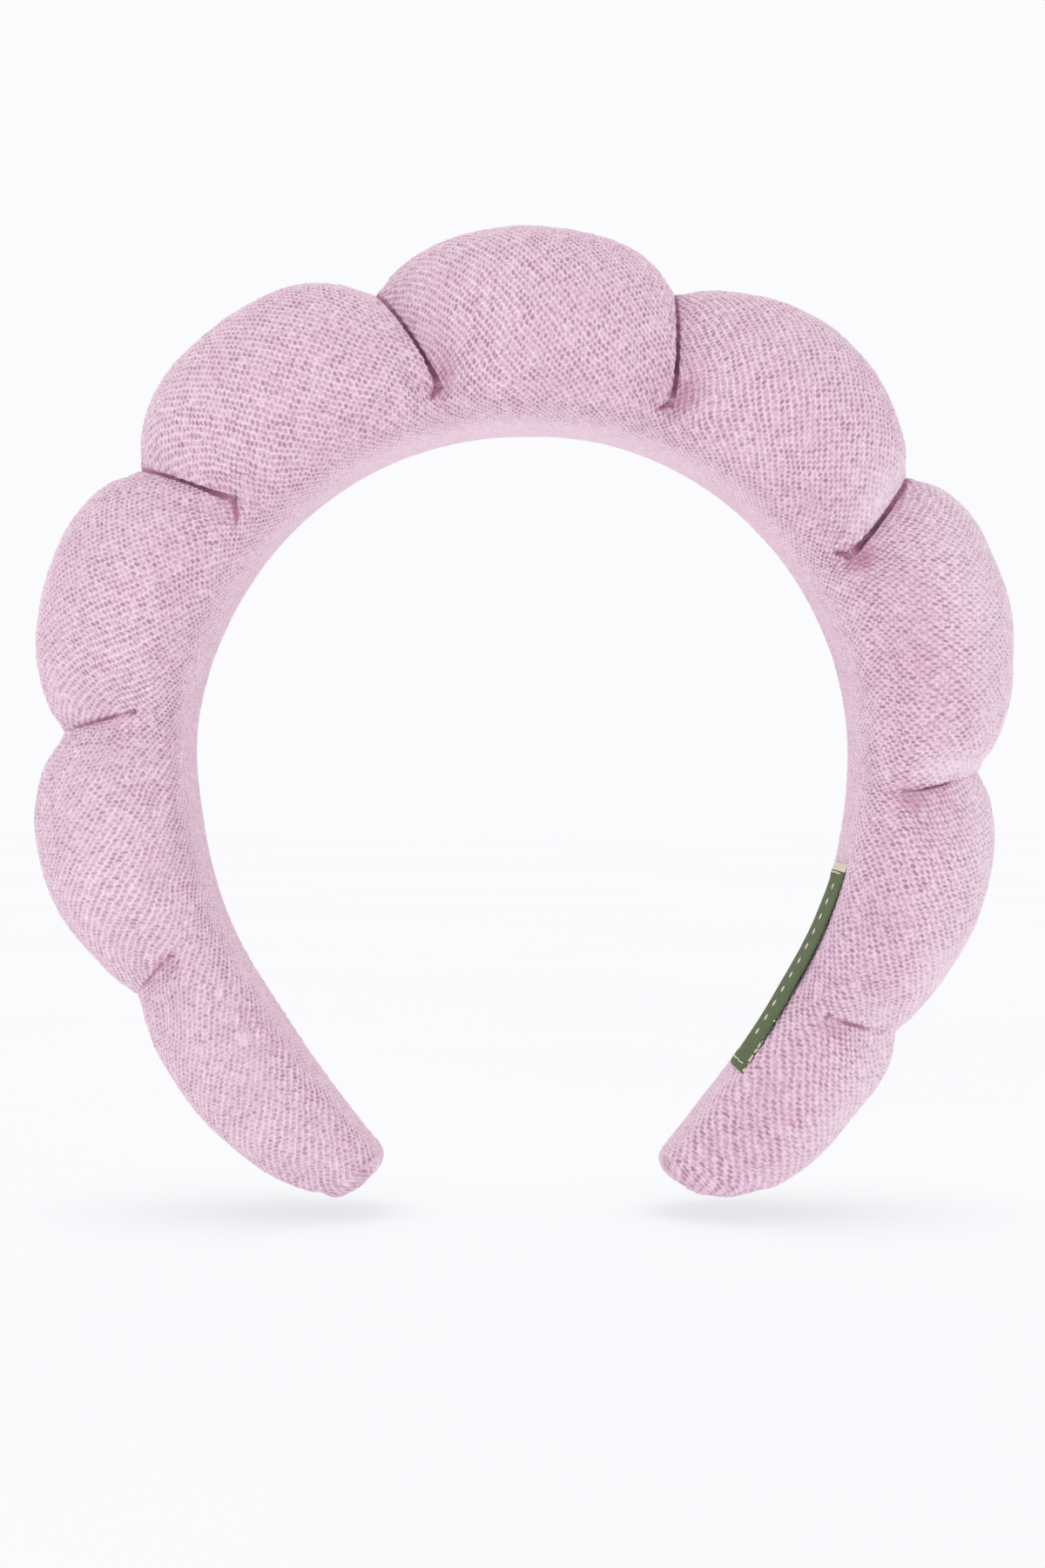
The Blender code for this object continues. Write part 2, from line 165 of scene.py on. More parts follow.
# ------------------------------------------------------------------ small functions
def noise(x, y, z):
    """Smooth value noise between -1 and 1, from a fixed table."""
    cells = [np.floor(v).astype(int) for v in (x, y, z)]
    parts = [v - cell for v, cell in zip((x, y, z), cells)]
    parts = [part * part * (3 - 2 * part) for part in parts]
    total = 0.0
    for corner in np.ndindex(2, 2, 2):
        weight = 1.0
        for part, step in zip(parts, corner):
            weight = weight * (part if step else 1 - part)
        total = total + weight * NOISE_TABLE[tuple((c + d) & 31 for c, d in zip(cells, corner))]
    return 2 * total - 1


def layered_noise(layers, x, y):
    return sum(strength * noise(x * rate + dx, y * rate + dy, dz)
               for strength, rate, dx, dy, dz in layers)


def smoothstep(start, end, x):
    t = np.clip((x - start) / (end - start), 0, 1)
    return t * t * (3 - 2 * t)


def bell(x, width, power=2):
    return np.exp(-(np.abs(x) / width) ** power)


def from_table(x, table):
    places, values = zip(*table)
    return np.interp(x, places, values)


def blurred(grid, reach, passes):
    """Box blur of a grid that is closed round and open along."""
    size = 2 * reach + 1
    for _ in range(passes):
        grid = sum(np.roll(grid, i, 1) for i in range(-reach, reach + 1)) / size
        span = len(grid) - 2 * reach
        grid[reach:-reach] = sum(grid[i:i + span] for i in range(size)) / size
    return grid


def grid_normals(points):
    """Outward normals of a closed-round grid points[column, row]."""
    along = np.empty_like(points)
    along[1:-1] = points[2:] - points[:-2]
    along[0], along[-1] = points[1] - points[0], points[-1] - points[-2]
    across = np.roll(points, -1, 1) - np.roll(points, 1, 1)
    normals = np.cross(across, along)
    return normals / (np.linalg.norm(normals, axis=-1, keepdims=True) + 1e-12)


def strip_corners(near, far):
    """Corner values of the quads between columns near and far, wound to face outwards."""
    return np.stack([near[:, :-1], near[:, 1:], far[:, 1:], far[:, :-1]], axis=2)


def quad_corners(grid):
    """Corner values of all the quads of a closed-round grid."""
    closed = np.concatenate([grid, grid[:, :1]], 1)
    return strip_corners(closed[:-1], closed[1:])


def sample(grid, column, row):
    """Points of a grid at fractional columns and rows; rows wrap round."""
    column, row = np.broadcast_arrays(column, row)
    c, r = np.floor(column).astype(int), np.floor(row).astype(int)
    past_c, past_r = (column - c)[..., None], (row - r)[..., None]
    low, high = r % grid.shape[1], (r + 1) % grid.shape[1]
    near, far = (grid[i, low] * (1 - past_r) + grid[i, high] * past_r for i in (c, c + 1))
    return near * (1 - past_c) + far * past_c


# ------------------------------------------------------------------ guide line and section
def guide(hoop):
    """Point, tangent and outward direction of the guide line, with z from the crown's middle."""
    hoop = np.asarray(hoop, float)
    side = np.where(hoop < 0, -1.0, 1.0)
    left = np.abs(hoop)
    x, z, head = np.zeros_like(left), np.zeros_like(left), np.zeros_like(left)
    for radius, length in ARCS:
        run = np.minimum(left, length)
        turned = head + run / radius
        x += radius * (np.sin(turned) - np.sin(head))
        z += radius * (np.cos(turned) - np.cos(head))
        head = turned
        left = left - run
    sine, cosine, zero = side * np.sin(head), np.cos(head), 0 * x
    return (np.stack([side * x, zero, z], -1), np.stack([cosine, zero, -sine], -1),
            np.stack([sine, zero, cosine], -1))


def section(height, mid, half_width, phi):
    """Section outline (y, out), widest at height mid."""
    cosine, sine = np.cos(phi), np.sin(phi)
    y = half_width * np.sign(sine) * np.abs(sine) ** SIDE_POWER
    rise = np.abs(cosine)
    out = np.where(cosine >= 0, mid - mid * rise ** INNER_POWER,
                   mid + (height - mid) * rise ** OUTER_POWER)
    return y, out


def crown_pad_z():
    """Height above the guide line's top where the CAD has its origin."""
    start, end = CAD_CROWN
    t = (2 * PAD_HALF - start - end) / (end - start)
    low, high = CAD_VALLEYS
    height = low + (high - low) * (t + 1) / 2 + CAD_SWELL * (1 - t * t)
    _, out = section(height, height * WIDEST_AT, 0.0, PAD_PHI)
    point, _, outward = guide(PAD_HALF)
    return float(point[2] + out * outward[2])


PAD_Z = crown_pad_z()


def place(hoop, y, out, ahead=0.0):
    point, tangent, outward = guide(hoop)
    spot = (point + np.asarray(out)[..., None] * outward
            + np.asarray(ahead)[..., None] * tangent)
    spot[..., 1] += y
    spot[..., 2] -= PAD_Z
    return spot


def round_angles():
    """Angles that step evenly round a typical section from the seam, and their arc lengths
    measured from the middle of the front face."""
    fine = np.linspace(0, TAU, 24001)
    y, out = section(*ROUND_SECTION, fine)
    run = np.concatenate([[0], np.cumsum(np.hypot(np.diff(y), np.diff(out)))])
    total = run[-1]
    want = np.interp(SEAM_PHI, fine, run) + total * np.arange(ROWS + 1) / ROWS
    phi = np.interp(want % total, run, fine) + TAU * np.floor(want / total)
    return phi, want - np.interp(1.5 * np.pi, fine, run)


def away_of(phi):
    """Degrees from the middle of the inner face."""
    return np.degrees(np.abs((phi + np.pi) % TAU - np.pi))


PHI, ROUND = round_angles()          # ROWS + 1 values, the last a turn after the first
ROW_PHI, ROW_ROUND = PHI[:ROWS], ROUND[:ROWS]
AWAY = away_of(ROW_PHI)
OUTER = -np.cos(ROW_PHI)             # 1 at the crest, -1 on the inner face
CREST = np.clip(OUTER, 0, 1) ** 2


def shift_at(phi):
    """Share of a crease's sideways run: straight from crest to tack, opposite on the back."""
    _, out = section(*SHIFT_SECTION, phi)
    top = SHIFT_SECTION[0]
    bend = np.clip((top - out) / (top - SHIFT_FOOT), 0, 1)
    return bend * smoothstep(0.0, 66.5, away_of(phi)) * np.sign(-np.sin(phi))


def crease_at(k, phi):
    """Hoop distance of crease k at each angle."""
    line = CREASES[k].place + CREASES[k].shift * shift_at(phi)
    if k in ENDS:
        _, out = section(*SHIFT_SECTION, phi)
        drawn = np.clip(out / SHIFT_SECTION[0], 0, 1) ** 1.2
        line = line - ENDS[k].facing * ENDS[k].slant * drawn
    return line


def fold_share(k):
    """How much of the sharp fold there is round the section: nothing below the tack."""
    tack = CREASES[k].tack
    return smoothstep(tack - 4, tack + 13, AWAY)


def line_share(k):
    """How dark the line in the fold reads round the section."""
    crease = CREASES[k]
    if crease.reach >= 1:
        return fold_share(k)
    up = np.clip((AWAY - crease.tack) / (20 + 55 * crease.reach), 0, 1)
    return fold_share(k) * (1 - smoothstep(0.55, 1.0, up))


def tacks_of(k):
    """The two tacks of crease k: face (1 front, -1 back), hoop distance, place round the tube."""
    tack = math.radians(CREASES[k].tack)
    for face, phi in ((1.0, TAU - tack), (-1.0, tack)):
        hoop = CREASES[k].place + CREASES[k].shift * float(shift_at(phi))
        yield face, hoop, np.interp(phi, PHI, ROUND)


def lobe_section(i, hoop, t, phi):
    """Section (y, out) of lobe i at lobe position t, from -1 to 1, and angle phi."""
    lobe, low, high = LOBES[i], CREASES[i], CREASES[i + 1]
    side = np.abs(np.sin(phi)) ** 1.5
    # a rounder shoulder where the lobe stands proud of the crease, a gentler slope where not
    powers = []
    for rise, proud in ((lobe.rise_low, -low.proud), (lobe.rise_high, high.proud)):
        power = rise + 1.5 * side * proud * (1.0 if proud > 0 else 0.55)
        powers.append(np.maximum(power, 1.35))
    fall = np.abs(t) ** np.where(t < 0, *powers)
    valley = low.valley + (high.valley - low.valley) * (t + 1) / 2
    height = valley + lobe.swell * (1 - fall)
    mid = WIDEST_AT * (valley + 0.55 * lobe.swell)
    # the sides are pulled in at a crease: not at all on the inner face, fully above the tack
    pinch = np.where(t < 0, low.pinch, high.pinch) * fall * smoothstep(38, 74, away_of(phi))
    return section(height, mid, from_table(np.abs(hoop), HALF_WIDTH) + 0.5 - pinch, phi)


def surface_at(hoop, phi):
    """Base points of the cover at any hoop distances and angles."""
    hoop, phi = np.broadcast_arrays(np.asarray(hoop, float), np.asarray(phi, float))
    y, out = np.zeros(hoop.shape), np.zeros(hoop.shape)
    for i in range(9):
        low, high = crease_at(i, phi), crease_at(i + 1, phi)
        inside = (hoop >= low) & (hoop <= high)
        if inside.any():
            t = (2 * (hoop - low) / (high - low) - 1)[inside]
            y[inside], out[inside] = lobe_section(i, hoop[inside], t, phi[inside])
    return place(hoop, y, out)


def lobe_grid(i):
    """Base surface of lobe i (hoop, y, out) on a (steps + 1, ROWS + 1) grid."""
    even = np.linspace(0, 1, LOBES[i].steps + 1)

    def crowded(amount):
        """Steps that crowd towards both ends of the lobe."""
        return even - amount / TAU * np.sin(TAU * even)

    part = crowded(0.34)
    if i == 0:
        part = np.where(even < 0.5, crowded(0.10), part)
    if i == 8:
        part = np.where(even > 0.5, crowded(0.10), part)
    low, high = crease_at(i, PHI), crease_at(i + 1, PHI)
    hoop = low[None] + (high - low)[None] * part[:, None]
    t = (2 * part - 1)[:, None] + 0 * hoop
    y, out = lobe_section(i, hoop, t, PHI[None] + 0 * hoop)
    return hoop, y, out


def lobe_fabric(i, hoop, out):
    """Knit coordinates (courses, wales) of lobe i. They grow faster on the outer side, so the
    cloth is used up in the creases."""
    lobe = LOBES[i]
    outward = np.maximum(0, out - 7.5)
    centre = 0.5 * (hoop[0] + hoop[-1])[None]
    along = centre + (hoop - centre) * (1 + 0.92 * outward / CLOTH_RADIUS) - centre.mean()
    along = along + layered_noise(WANDER_ALONG, hoop, ROUND[None])
    across = ROUND[None] * from_table(np.abs(hoop), KNIT_SCALE)
    across = across + layered_noise(WANDER_ROUND, hoop, ROUND[None])
    # the gathers drag the knit with them, so that it fans out round each tack
    for k in (i, i + 1):
        if k in ENDS:
            continue
        for _, tack_hoop, tack_round in tacks_of(k):
            aside, beyond = hoop - tack_hoop, ROUND[None] - tack_round
            near = np.exp(-(aside ** 2 + beyond ** 2) / (2 * 6.5 ** 2))
            along = along + 0.30 * aside * near
            across = across - 0.22 * beyond * near
    course, wale = math.radians(lobe.course_turn), math.radians(lobe.wale_turn)
    return np.stack([
        (along * math.cos(course) + across * math.sin(course)) / lobe.course_gap,
        (-along * math.sin(wale) + across * math.cos(wale)) / lobe.wale_gap], -1)


# ------------------------------------------------------------------ the cover's surface
def base_cover():
    """The whole cover before any relief, with the distance to the nearest crease."""
    shape = (TOTAL, ROWS)
    cover = SimpleNamespace(
        fabric=[], gap=np.full(shape, FAR), nearest=np.zeros(shape, int),
        **{name: np.zeros(shape) for name in
           ("hoop", "y", "out", "depth", "slide", "mark", "hollow", "pale")})
    for i in range(9):
        hoop, y, out = lobe_grid(i)
        cover.fabric.append(lobe_fabric(i, hoop, out))
        hoop, y, out = hoop[:, :ROWS], y[:, :ROWS], out[:, :ROWS]
        span = slice(STARTS[i], STARTS[i + 1] + 1)
        cover.hoop[span], cover.y[span], cover.out[span] = hoop, y, out
        stretch = 1 + np.maximum(0, out) / CLOTH_RADIUS
        from_low = (hoop - hoop[:1]) * stretch
        from_high = (hoop - hoop[-1:]) * stretch
        near_low = np.abs(from_low) <= np.abs(from_high)
        gap = np.where(near_low, from_low, from_high)
        if i == 0:
            gap[near_low] = FAR
        if i == 8:
            gap[~near_low] = FAR
        take = np.abs(gap) < np.abs(cover.gap[span])
        cover.gap[span][take] = gap[take]
        cover.nearest[span][take] = np.where(near_low, i, i + 1)[take]
    cover.out += from_table(cover.hoop, EASE_OFF) * (1 - smoothstep(3, 16, cover.out))
    cover.base = place(cover.hoop, cover.y, cover.out)
    cover.base_normals = grid_normals(cover.base)
    return cover


def press_fold(cover, k):
    """The sharp fold of crease k, its overhanging lip and its shading."""
    crease = CREASES[k]
    here = cover.nearest == k
    signed = np.where(here, cover.gap, FAR)
    handed = 1.0 if crease.proud > 0 else -1.0
    crisp = signed * handed <= 0                   # the side that stands proud
    gap = np.abs(signed)
    strength = fold_share(k) * (1 - 0.90 * CREST)
    sharp = line_share(k) * (1 - 0.90 * CREST)
    proud = abs(crease.proud)
    loose = 1.0 + 0.24 * max(0.0, crease.soft - 1.5)   # soft creases are wider and shallower
    # the narrow line, then the broad valley
    cover.depth += 0.62 * crease.fold / loose ** 1.3 * sharp * np.where(
        crisp, bell(gap, 0.25 * loose, 1.7), bell(gap, 0.27 * loose, 1.6))
    cover.depth += 0.26 * crease.fold * strength * np.where(
        crisp, 0.4 * bell(gap, 1.0), bell(gap, 2.4, 1.3))
    # the proud lip leans over the line and swells
    lean = np.where(crisp, bell(gap - 0.6, 0.8), bell(gap, 0.35) * bell(0.6, 0.8))
    cover.slide += handed * 0.62 * proud * (0.4 * strength + 0.6 * sharp) * lean
    cover.depth -= 0.45 * proud * strength * np.where(crisp, bell(gap - 2.4, 1.9), 0)
    cover.hollow = np.maximum(cover.hollow, (crease.fold + 0.6) * bell(gap, 3.4))
    # painted shade: a dark, uneven line in the fold with a soft gloom beside it
    uneven = 0.78 + 0.34 * noise(ROW_ROUND / 1.6 + 11 * k, 0.0, 3.3)
    line = uneven * crease.dark * np.where(
        crisp, bell(gap, 0.22), bell(gap, 0.30 * loose ** 1.5, 1.8))
    gloom = np.where(crisp, 0.05 * bell(gap, 0.8, 1),
                     (0.11 + 0.08 * crease.dark) * bell(gap, 1.3 * crease.soft + 0.2, 1))
    shading = np.where(here, line + gloom, 0) * line_share(k) * (1 - 0.5 * CREST)
    cover.mark = np.maximum(cover.mark, shading)
    # painted highlight along the proud lip
    lip = np.where(here & crisp, crease.lip * bell(gap - 2.2, 3.9), 0)
    cover.pale = np.maximum(cover.pale, lip * smoothstep(72, 104, AWAY))


def press_tacks(cover, k):
    """The dimple of each tack of crease k, with a hooked fold, short gathers and painted shade round
    it.
    """
    crease = CREASES[k]
    handed = 1.0 if crease.proud > 0 else -1.0
    for face, tack_hoop, tack_round in tacks_of(k):
        aside = (cover.hoop - tack_hoop) * (1 + 8.0 / CLOTH_RADIUS)
        inward = (ROW_ROUND - tack_round)[None] * face
        squared = aside ** 2 + inward ** 2
        cover.depth += (0.30 * crease.fold * np.exp(-squared / (2 * 2.8 ** 2))
                        * (0.6 + 0.4 * abs(crease.proud)))
        # the hooked fold runs inwards and sideways in a slight bend
        run = aside * -0.45 * face + inward * 0.893
        off = -aside * 0.893 * face - inward * 0.45 - 0.05 * run ** 2
        line = (smoothstep(-0.6, 0.2, run) * bell(off, 0.45)
                * (1 - smoothstep(0.35 * crease.hook, crease.hook + 0.4, run)))
        cover.depth += 0.24 * crease.fold * line
        # painted shade along the hooked fold
        cover.mark = np.maximum(cover.mark, (0.30 + 0.45 * crease.dark) * line)
        # painted shade round each tack: a deeper pink, most of all on the side the crease leans over
        tack_shade = 0.13 * min(crease.soft, 2.2) * crease.dark ** 0.5 * np.exp(
            -(aside - 1.3 * handed) ** 2 / (2 * 1.9 ** 2) - (inward + 2.4) ** 2 / (2 * 3.6 ** 2))
        cover.mark = np.maximum(cover.mark, tack_shade)
        reach = np.sqrt(squared)
        cover.depth += (0.10 * crease.fold * np.cos(9 * np.arctan2(inward, aside) + k)
                        * smoothstep(0.6, 1.8, reach) * bell(reach, 3.4))


def paint_side_light_and_shade(cover):
    """Painted shade and painted light over parts of the sides: deeper pink in places, paler in
    others.
    """
    hoop, turn = cover.hoop, np.radians(AWAY)[None]
    patches = smoothstep(-0.5, 0.6, noise(hoop / 16, 4.1, turn * 1.3))
    right_side_shade = smoothstep(28, 70, hoop) * (0.55 + 0.45 * patches)
    right_side_shade *= smoothstep(52, 72, AWAY) * (1 - smoothstep(92, 118, AWAY))
    # painted shade: a deeper pink in patches over the sides of the right half
    deeper = 0.135 * right_side_shade * (1 - np.clip(2.2 * cover.pale, 0, 1))
    cover.mark = np.maximum(cover.mark, deeper)
    # painted highlight towards the crest on the right half, and painted light over the left half
    patches = smoothstep(-0.5, 0.5, noise(hoop / 9, 7.7, turn * 2.0))
    rim = 0.70 * smoothstep(40, 80, hoop) * smoothstep(104, 140, AWAY)
    cover.pale = np.maximum(cover.pale, rim * (0.6 + 0.4 * patches))
    left = 0.24 * smoothstep(50, 140, -hoop) * smoothstep(50, 70, AWAY)
    cover.pale = np.maximum(cover.pale, left)


def press_seam(cover):
    """The closing seam: a shallow groove along the first row, with painted shade along it."""
    gap = np.minimum(ROW_ROUND - ROUND[0], ROUND[ROWS] - ROW_ROUND)
    cover.depth += 0.65 * bell(gap, 0.6) - 0.22 * bell(gap - 1.8, 1.0)
    # painted shade along the groove
    cover.mark = np.maximum(cover.mark, 0.40 * bell(gap, 0.5))


CAGE_ALONG, CAGE_ROUND = 8, 4    # grid steps per step of the cloth cage
CAGE_SCALE = 0.01                # the cage is simulated at ten times its size
CLOTH_FRAMES = 16


def cage_hold(columns, away):
    """How firmly each point of the cage is held: at the creases and along the inner face."""
    hold = np.zeros((len(columns), len(away)))
    above_tack = smoothstep(56, 72, away)[None]
    for k in range(10):
        near = np.abs(columns - STARTS[k])[:, None] <= 4
        hold = np.maximum(hold, (1.0 if k in ENDS else above_tack) * near)
    return np.maximum(hold, 1 - smoothstep(34, 56, away)[None])


def run_cloth(rest, hold):
    """Blows the cage up as cloth and returns its settled points."""
    index = np.arange(hold.size).reshape(hold.shape)
    mesh = bpy.data.meshes.new("cloth_cage")
    mesh.from_pydata((rest.reshape(-1, 3) * CAGE_SCALE).tolist(), [],
                     quad_corners(index).reshape(-1, 4).tolist())
    cage = bpy.data.objects.new("cloth_cage", mesh)
    scene.collection.objects.link(cage)
    group = cage.vertex_groups.new(name="held")
    levels = np.round(hold.ravel() * 10).astype(int)
    for level in range(1, 11):
        members = np.nonzero(levels == level)[0].tolist()
        if members:
            group.add(members, level / 10, "REPLACE")
    cloth = cage.modifiers.new("Cloth", "CLOTH")
    settings = cloth.settings
    settings.quality = 6
    settings.mass = 0.3
    settings.air_damping = 1.0
    settings.tension_stiffness = 12.0
    settings.compression_stiffness = 12.0
    settings.shear_stiffness = 5.0
    settings.bending_stiffness = 0.4
    settings.shrink_min = -0.045
    settings.use_pressure = True
    settings.uniform_pressure_force = 3.0
    settings.vertex_group_mass = "held"
    settings.effector_weights.gravity = 0.0
    cloth.collision_settings.use_collision = False
    cloth.collision_settings.use_self_collision = False
    cloth.point_cache.frame_start = 1
    cloth.point_cache.frame_end = CLOTH_FRAMES
    for number in range(1, CLOTH_FRAMES + 1):
        scene.frame_set(number)
    settled = cage.evaluated_get(bpy.context.evaluated_depsgraph_get())
    points = np.empty(rest.size)
    settled.data.vertices.foreach_get("co", points)
    scene.frame_set(1)
    bpy.data.objects.remove(cage)
    bpy.data.meshes.remove(mesh)
    return points.reshape(rest.shape) / CAGE_SCALE


def cloth_settle(cover):
    """How far each point of the cover settles along its normal as blown-up cloth."""
    columns = np.unique(np.concatenate([np.arange(0, TOTAL, CAGE_ALONG), [TOTAL - 1]]))
    rows = np.arange(0, ROWS, CAGE_ROUND)
    rest = cover.base[columns][:, rows]
    hold = cage_hold(columns, AWAY[rows])
    move = np.einsum("ijk,ijk->ij", run_cloth(rest, hold) - rest,
                     cover.base_normals[columns][:, rows])
    broad = blurred(move, 1, 6)
    detail = move - broad
    # the section already has its filled size, so only differences from place to place are kept
    broad = broad - float(np.average(broad, weights=np.clip(0.6 - hold, 0, 1)))
    kept = 0.30 * np.clip(broad, -1.5, 1.5) + 0.9 * np.clip(detail, -0.8, 0.8) - 0.22
    kept *= smoothstep(40, 70, AWAY[rows])
    # back to the fine grid
    along = np.array([np.interp(np.arange(TOTAL), columns, line) for line in kept.T]).T
    closed = np.concatenate([along, along[:, :1]], 1)
    at = np.arange(ROWS) / CAGE_ROUND
    low = np.floor(at).astype(int)
    fine = closed[:, low] * (1 - (at - low)) + closed[:, low + 1] * (at - low)
    return blurred(fine, 2, 3)


def loops_height(fabric, wales):
    """Height of the terry loops, about -1 to 1: rounded wales broken up by the courses."""
    course = fabric[..., 0] + 0.10 * np.sin(TAU * fabric[..., 1])
    wale = fabric[..., 1] + 0.06 * np.sin(TAU * fabric[..., 0])
    ridge = 0.7 * (1 - wales) * np.cos(TAU * course) + wales * np.cos(TAU * wale)
    cell = NOISE_TABLE[np.floor(course).astype(int) & 31, np.floor(wale).astype(int) & 31, 7]
    return (0.95 * ridge + 0.15) * (0.75 + 0.5 * cell)


def wale_share(hoop):
    """How strongly the wales read against the courses along the hoop."""
    middles = [0.5 * (CREASES[i].place + CREASES[i + 1].place) for i in range(9)]
    return np.interp(hoop, middles, [lobe.wales for lobe in LOBES])


def add_knit(cover):
    """Terry loops on the body, calmer in the folds and on the inner face."""
    knit = np.zeros((TOTAL, ROWS))
    for i in range(9):
        span = slice(STARTS[i], STARTS[i + 1] + 1)
        knit[span] = loops_height(cover.fabric[i][:, :ROWS], wale_share(cover.hoop[span]))
    x, y, z = np.moveaxis(cover.body / 0.8, -1, 0)
    height = LOOP * knit + 0.090 * noise(x, y, z)
    height *= 0.35 + 0.65 * smoothstep(14, 48, AWAY)
    height *= 1 - 0.55 * np.clip(cover.mark * 1.3, 0, 1)
    cover.body_normals = grid_normals(cover.body)
    cover.skin = cover.body + cover.body_normals * height[..., None]
    cover.skin_normals = grid_normals(cover.skin)


def end_cap(cover, end):
    """Rings of points, from the rim inwards, that round off and close one end."""
    column = 0 if end.side == "left" else -1
    rim, y, out = cover.hoop[column], cover.y[column], cover.out[column]
    normals = cover.base_normals[column]
    mid = 0.5 * (out.max() + out.min())
    half_out, half_y = 0.5 * (out.max() - out.min()), np.abs(y).max()
    lump = np.einsum("ij,ij->i", cover.body[column] - cover.base[column], normals)
    rings = []
    for k in range(1, end.rim_rings + 1):
        turn = 0.5 * np.pi * k / end.rim_rings
        rings.append((end.radius * (1 - math.cos(turn)), end.radius * math.sin(turn)))
    last_inset, last_ahead = rings[-1]
    for k in range(1, end.flat_rings + 1):
        part = k / end.flat_rings
        rings.append((last_inset + (min(half_out, half_y) * 0.96 - last_inset) * part,
                      last_ahead + end.dome * math.sin(0.5 * np.pi * part)))
    points = []
    for inset, ahead in rings:
        share_y, share_out = max(0.02, 1 - inset / half_y), max(0.02, 1 - inset / half_out)
        if end.side == "right":      # its outer side keeps falling away at the lobe's slope
            share_out = share_out * (1 - 0.75 * np.clip(out / 19.0, 0, 1) * ahead / half_out)
        pucker = (end.pucker * np.cos(17 * ROW_PHI + 2.0 * np.sin(3 * ROW_PHI))
                  * (1 - share_out) * (share_out > 0.05))
        ring = place(rim.mean() + (rim - rim.mean()) * share_out, y * share_y,
                     mid + (out - mid) * share_out, end.facing * (ahead + pucker))
        points.append(ring + normals * (lump * np.minimum(share_y, share_out))[:, None])
    return np.array(points)


def build_cover():
    cover = base_cover()
    for k in FOLDED:
        press_fold(cover, k)
        press_tacks(cover, k)
    paint_side_light_and_shade(cover)
    press_seam(cover)
    # lumpy sponge under the cloth
    x, y, z = np.moveaxis(cover.base, -1, 0)
    lump = 0.42 * noise(x / 15, y / 15 + 9, z / 15) + 0.20 * noise(x / 6 + 5, y / 6, z / 6)
    lump *= smoothstep(-0.95, -0.6, OUTER) * 0.8 + 0.2
    puff = cloth_settle(cover) * smoothstep(0.4, 3.2, np.abs(cover.gap))
    _, tangent, _ = guide(cover.hoop)
    cover.body = (cover.base - cover.base_normals * (cover.depth - lump - puff)[..., None]
                  + tangent * cover.slide[..., None])
    add_knit(cover)
    cover.caps = {k: end_cap(cover, end) for k, end in ENDS.items()}
    return cover


# ------------------------------------------------------------------ meshes of the cover
def cover_mesh(name, points, quads, triangles, fabric):
    """Smooth mesh with knit coordinates on the corners of its first quads, zero elsewhere."""
    mesh = bpy.data.meshes.new(name)
    loops = np.concatenate([quads.ravel(), triangles.ravel()]).astype(np.int32)
    mesh.vertices.add(len(points))
    mesh.vertices.foreach_set("co", (points * MM).astype(np.float32).ravel())
    mesh.loops.add(len(loops))
    mesh.loops.foreach_set("vertex_index", loops)
    mesh.polygons.add(len(quads) + len(triangles))
    starts = [np.arange(len(quads)) * 4, len(quads) * 4 + np.arange(len(triangles)) * 3]
    mesh.polygons.foreach_set("loop_start", np.concatenate(starts).astype(np.int32))
    mesh.update(calc_edges=True)
    mesh.polygons.foreach_set("use_smooth", np.ones(len(mesh.polygons), bool))
    corners = np.zeros((len(loops), 3), np.float32)
    corners[:fabric.size // 3] = fabric.reshape(-1, 3)
    attribute = mesh.attributes.new("fabric", "FLOAT_VECTOR", "CORNER")
    attribute.data.foreach_set("vector", corners.ravel())
    mesh.validate()
    obj = bpy.data.objects.new(name, mesh)
    scene.collection.objects.link(obj)
    return obj


def strip_fabric(cover, column):
    """Knit coordinates on both edges of the strip that starts at a column, past the ends too."""
    if column < 0:
        return [cover.fabric[0][0] + CAP_KNIT * (column + side) for side in (0, 1)]
    if column >= STARTS[9]:
        return [cover.fabric[8][-1] + CAP_KNIT * (column - STARTS[9] + side) for side in (0, 1)]
    lobe = int(np.searchsorted(STARTS, column, side="right")) - 1
    local = column - STARTS[lobe]
    return cover.fabric[lobe][local:local + 2]


def rim_triangles(fine, coarse, flip):
    """Joins a ring to another that has a quarter of its points."""
    triangles = []
    for j in range(len(coarse)):
        f = [fine[(4 * j + m) % ROWS] for m in range(5)]
        a, b = coarse[j], coarse[(j + 1) % len(coarse)]
        triangles += [(f[0], f[1], a), (f[1], f[2], a), (f[2], b, a), (f[2], f[3], b),
                      (f[3], f[4], b)]
    return [t[::-1] if flip else t for t in triangles]


def fan_triangles(ring, centre, flip):
    triangles = [(ring[j], ring[(j + 1) % len(ring)], centre) for j in range(len(ring))]
    return [t[::-1] if flip else t for t in triangles]


def set_point_values(obj, name, values):
    attribute = obj.data.attributes.new(name, "FLOAT", "POINT")
    attribute.data.foreach_set("value", values.astype(np.float32))


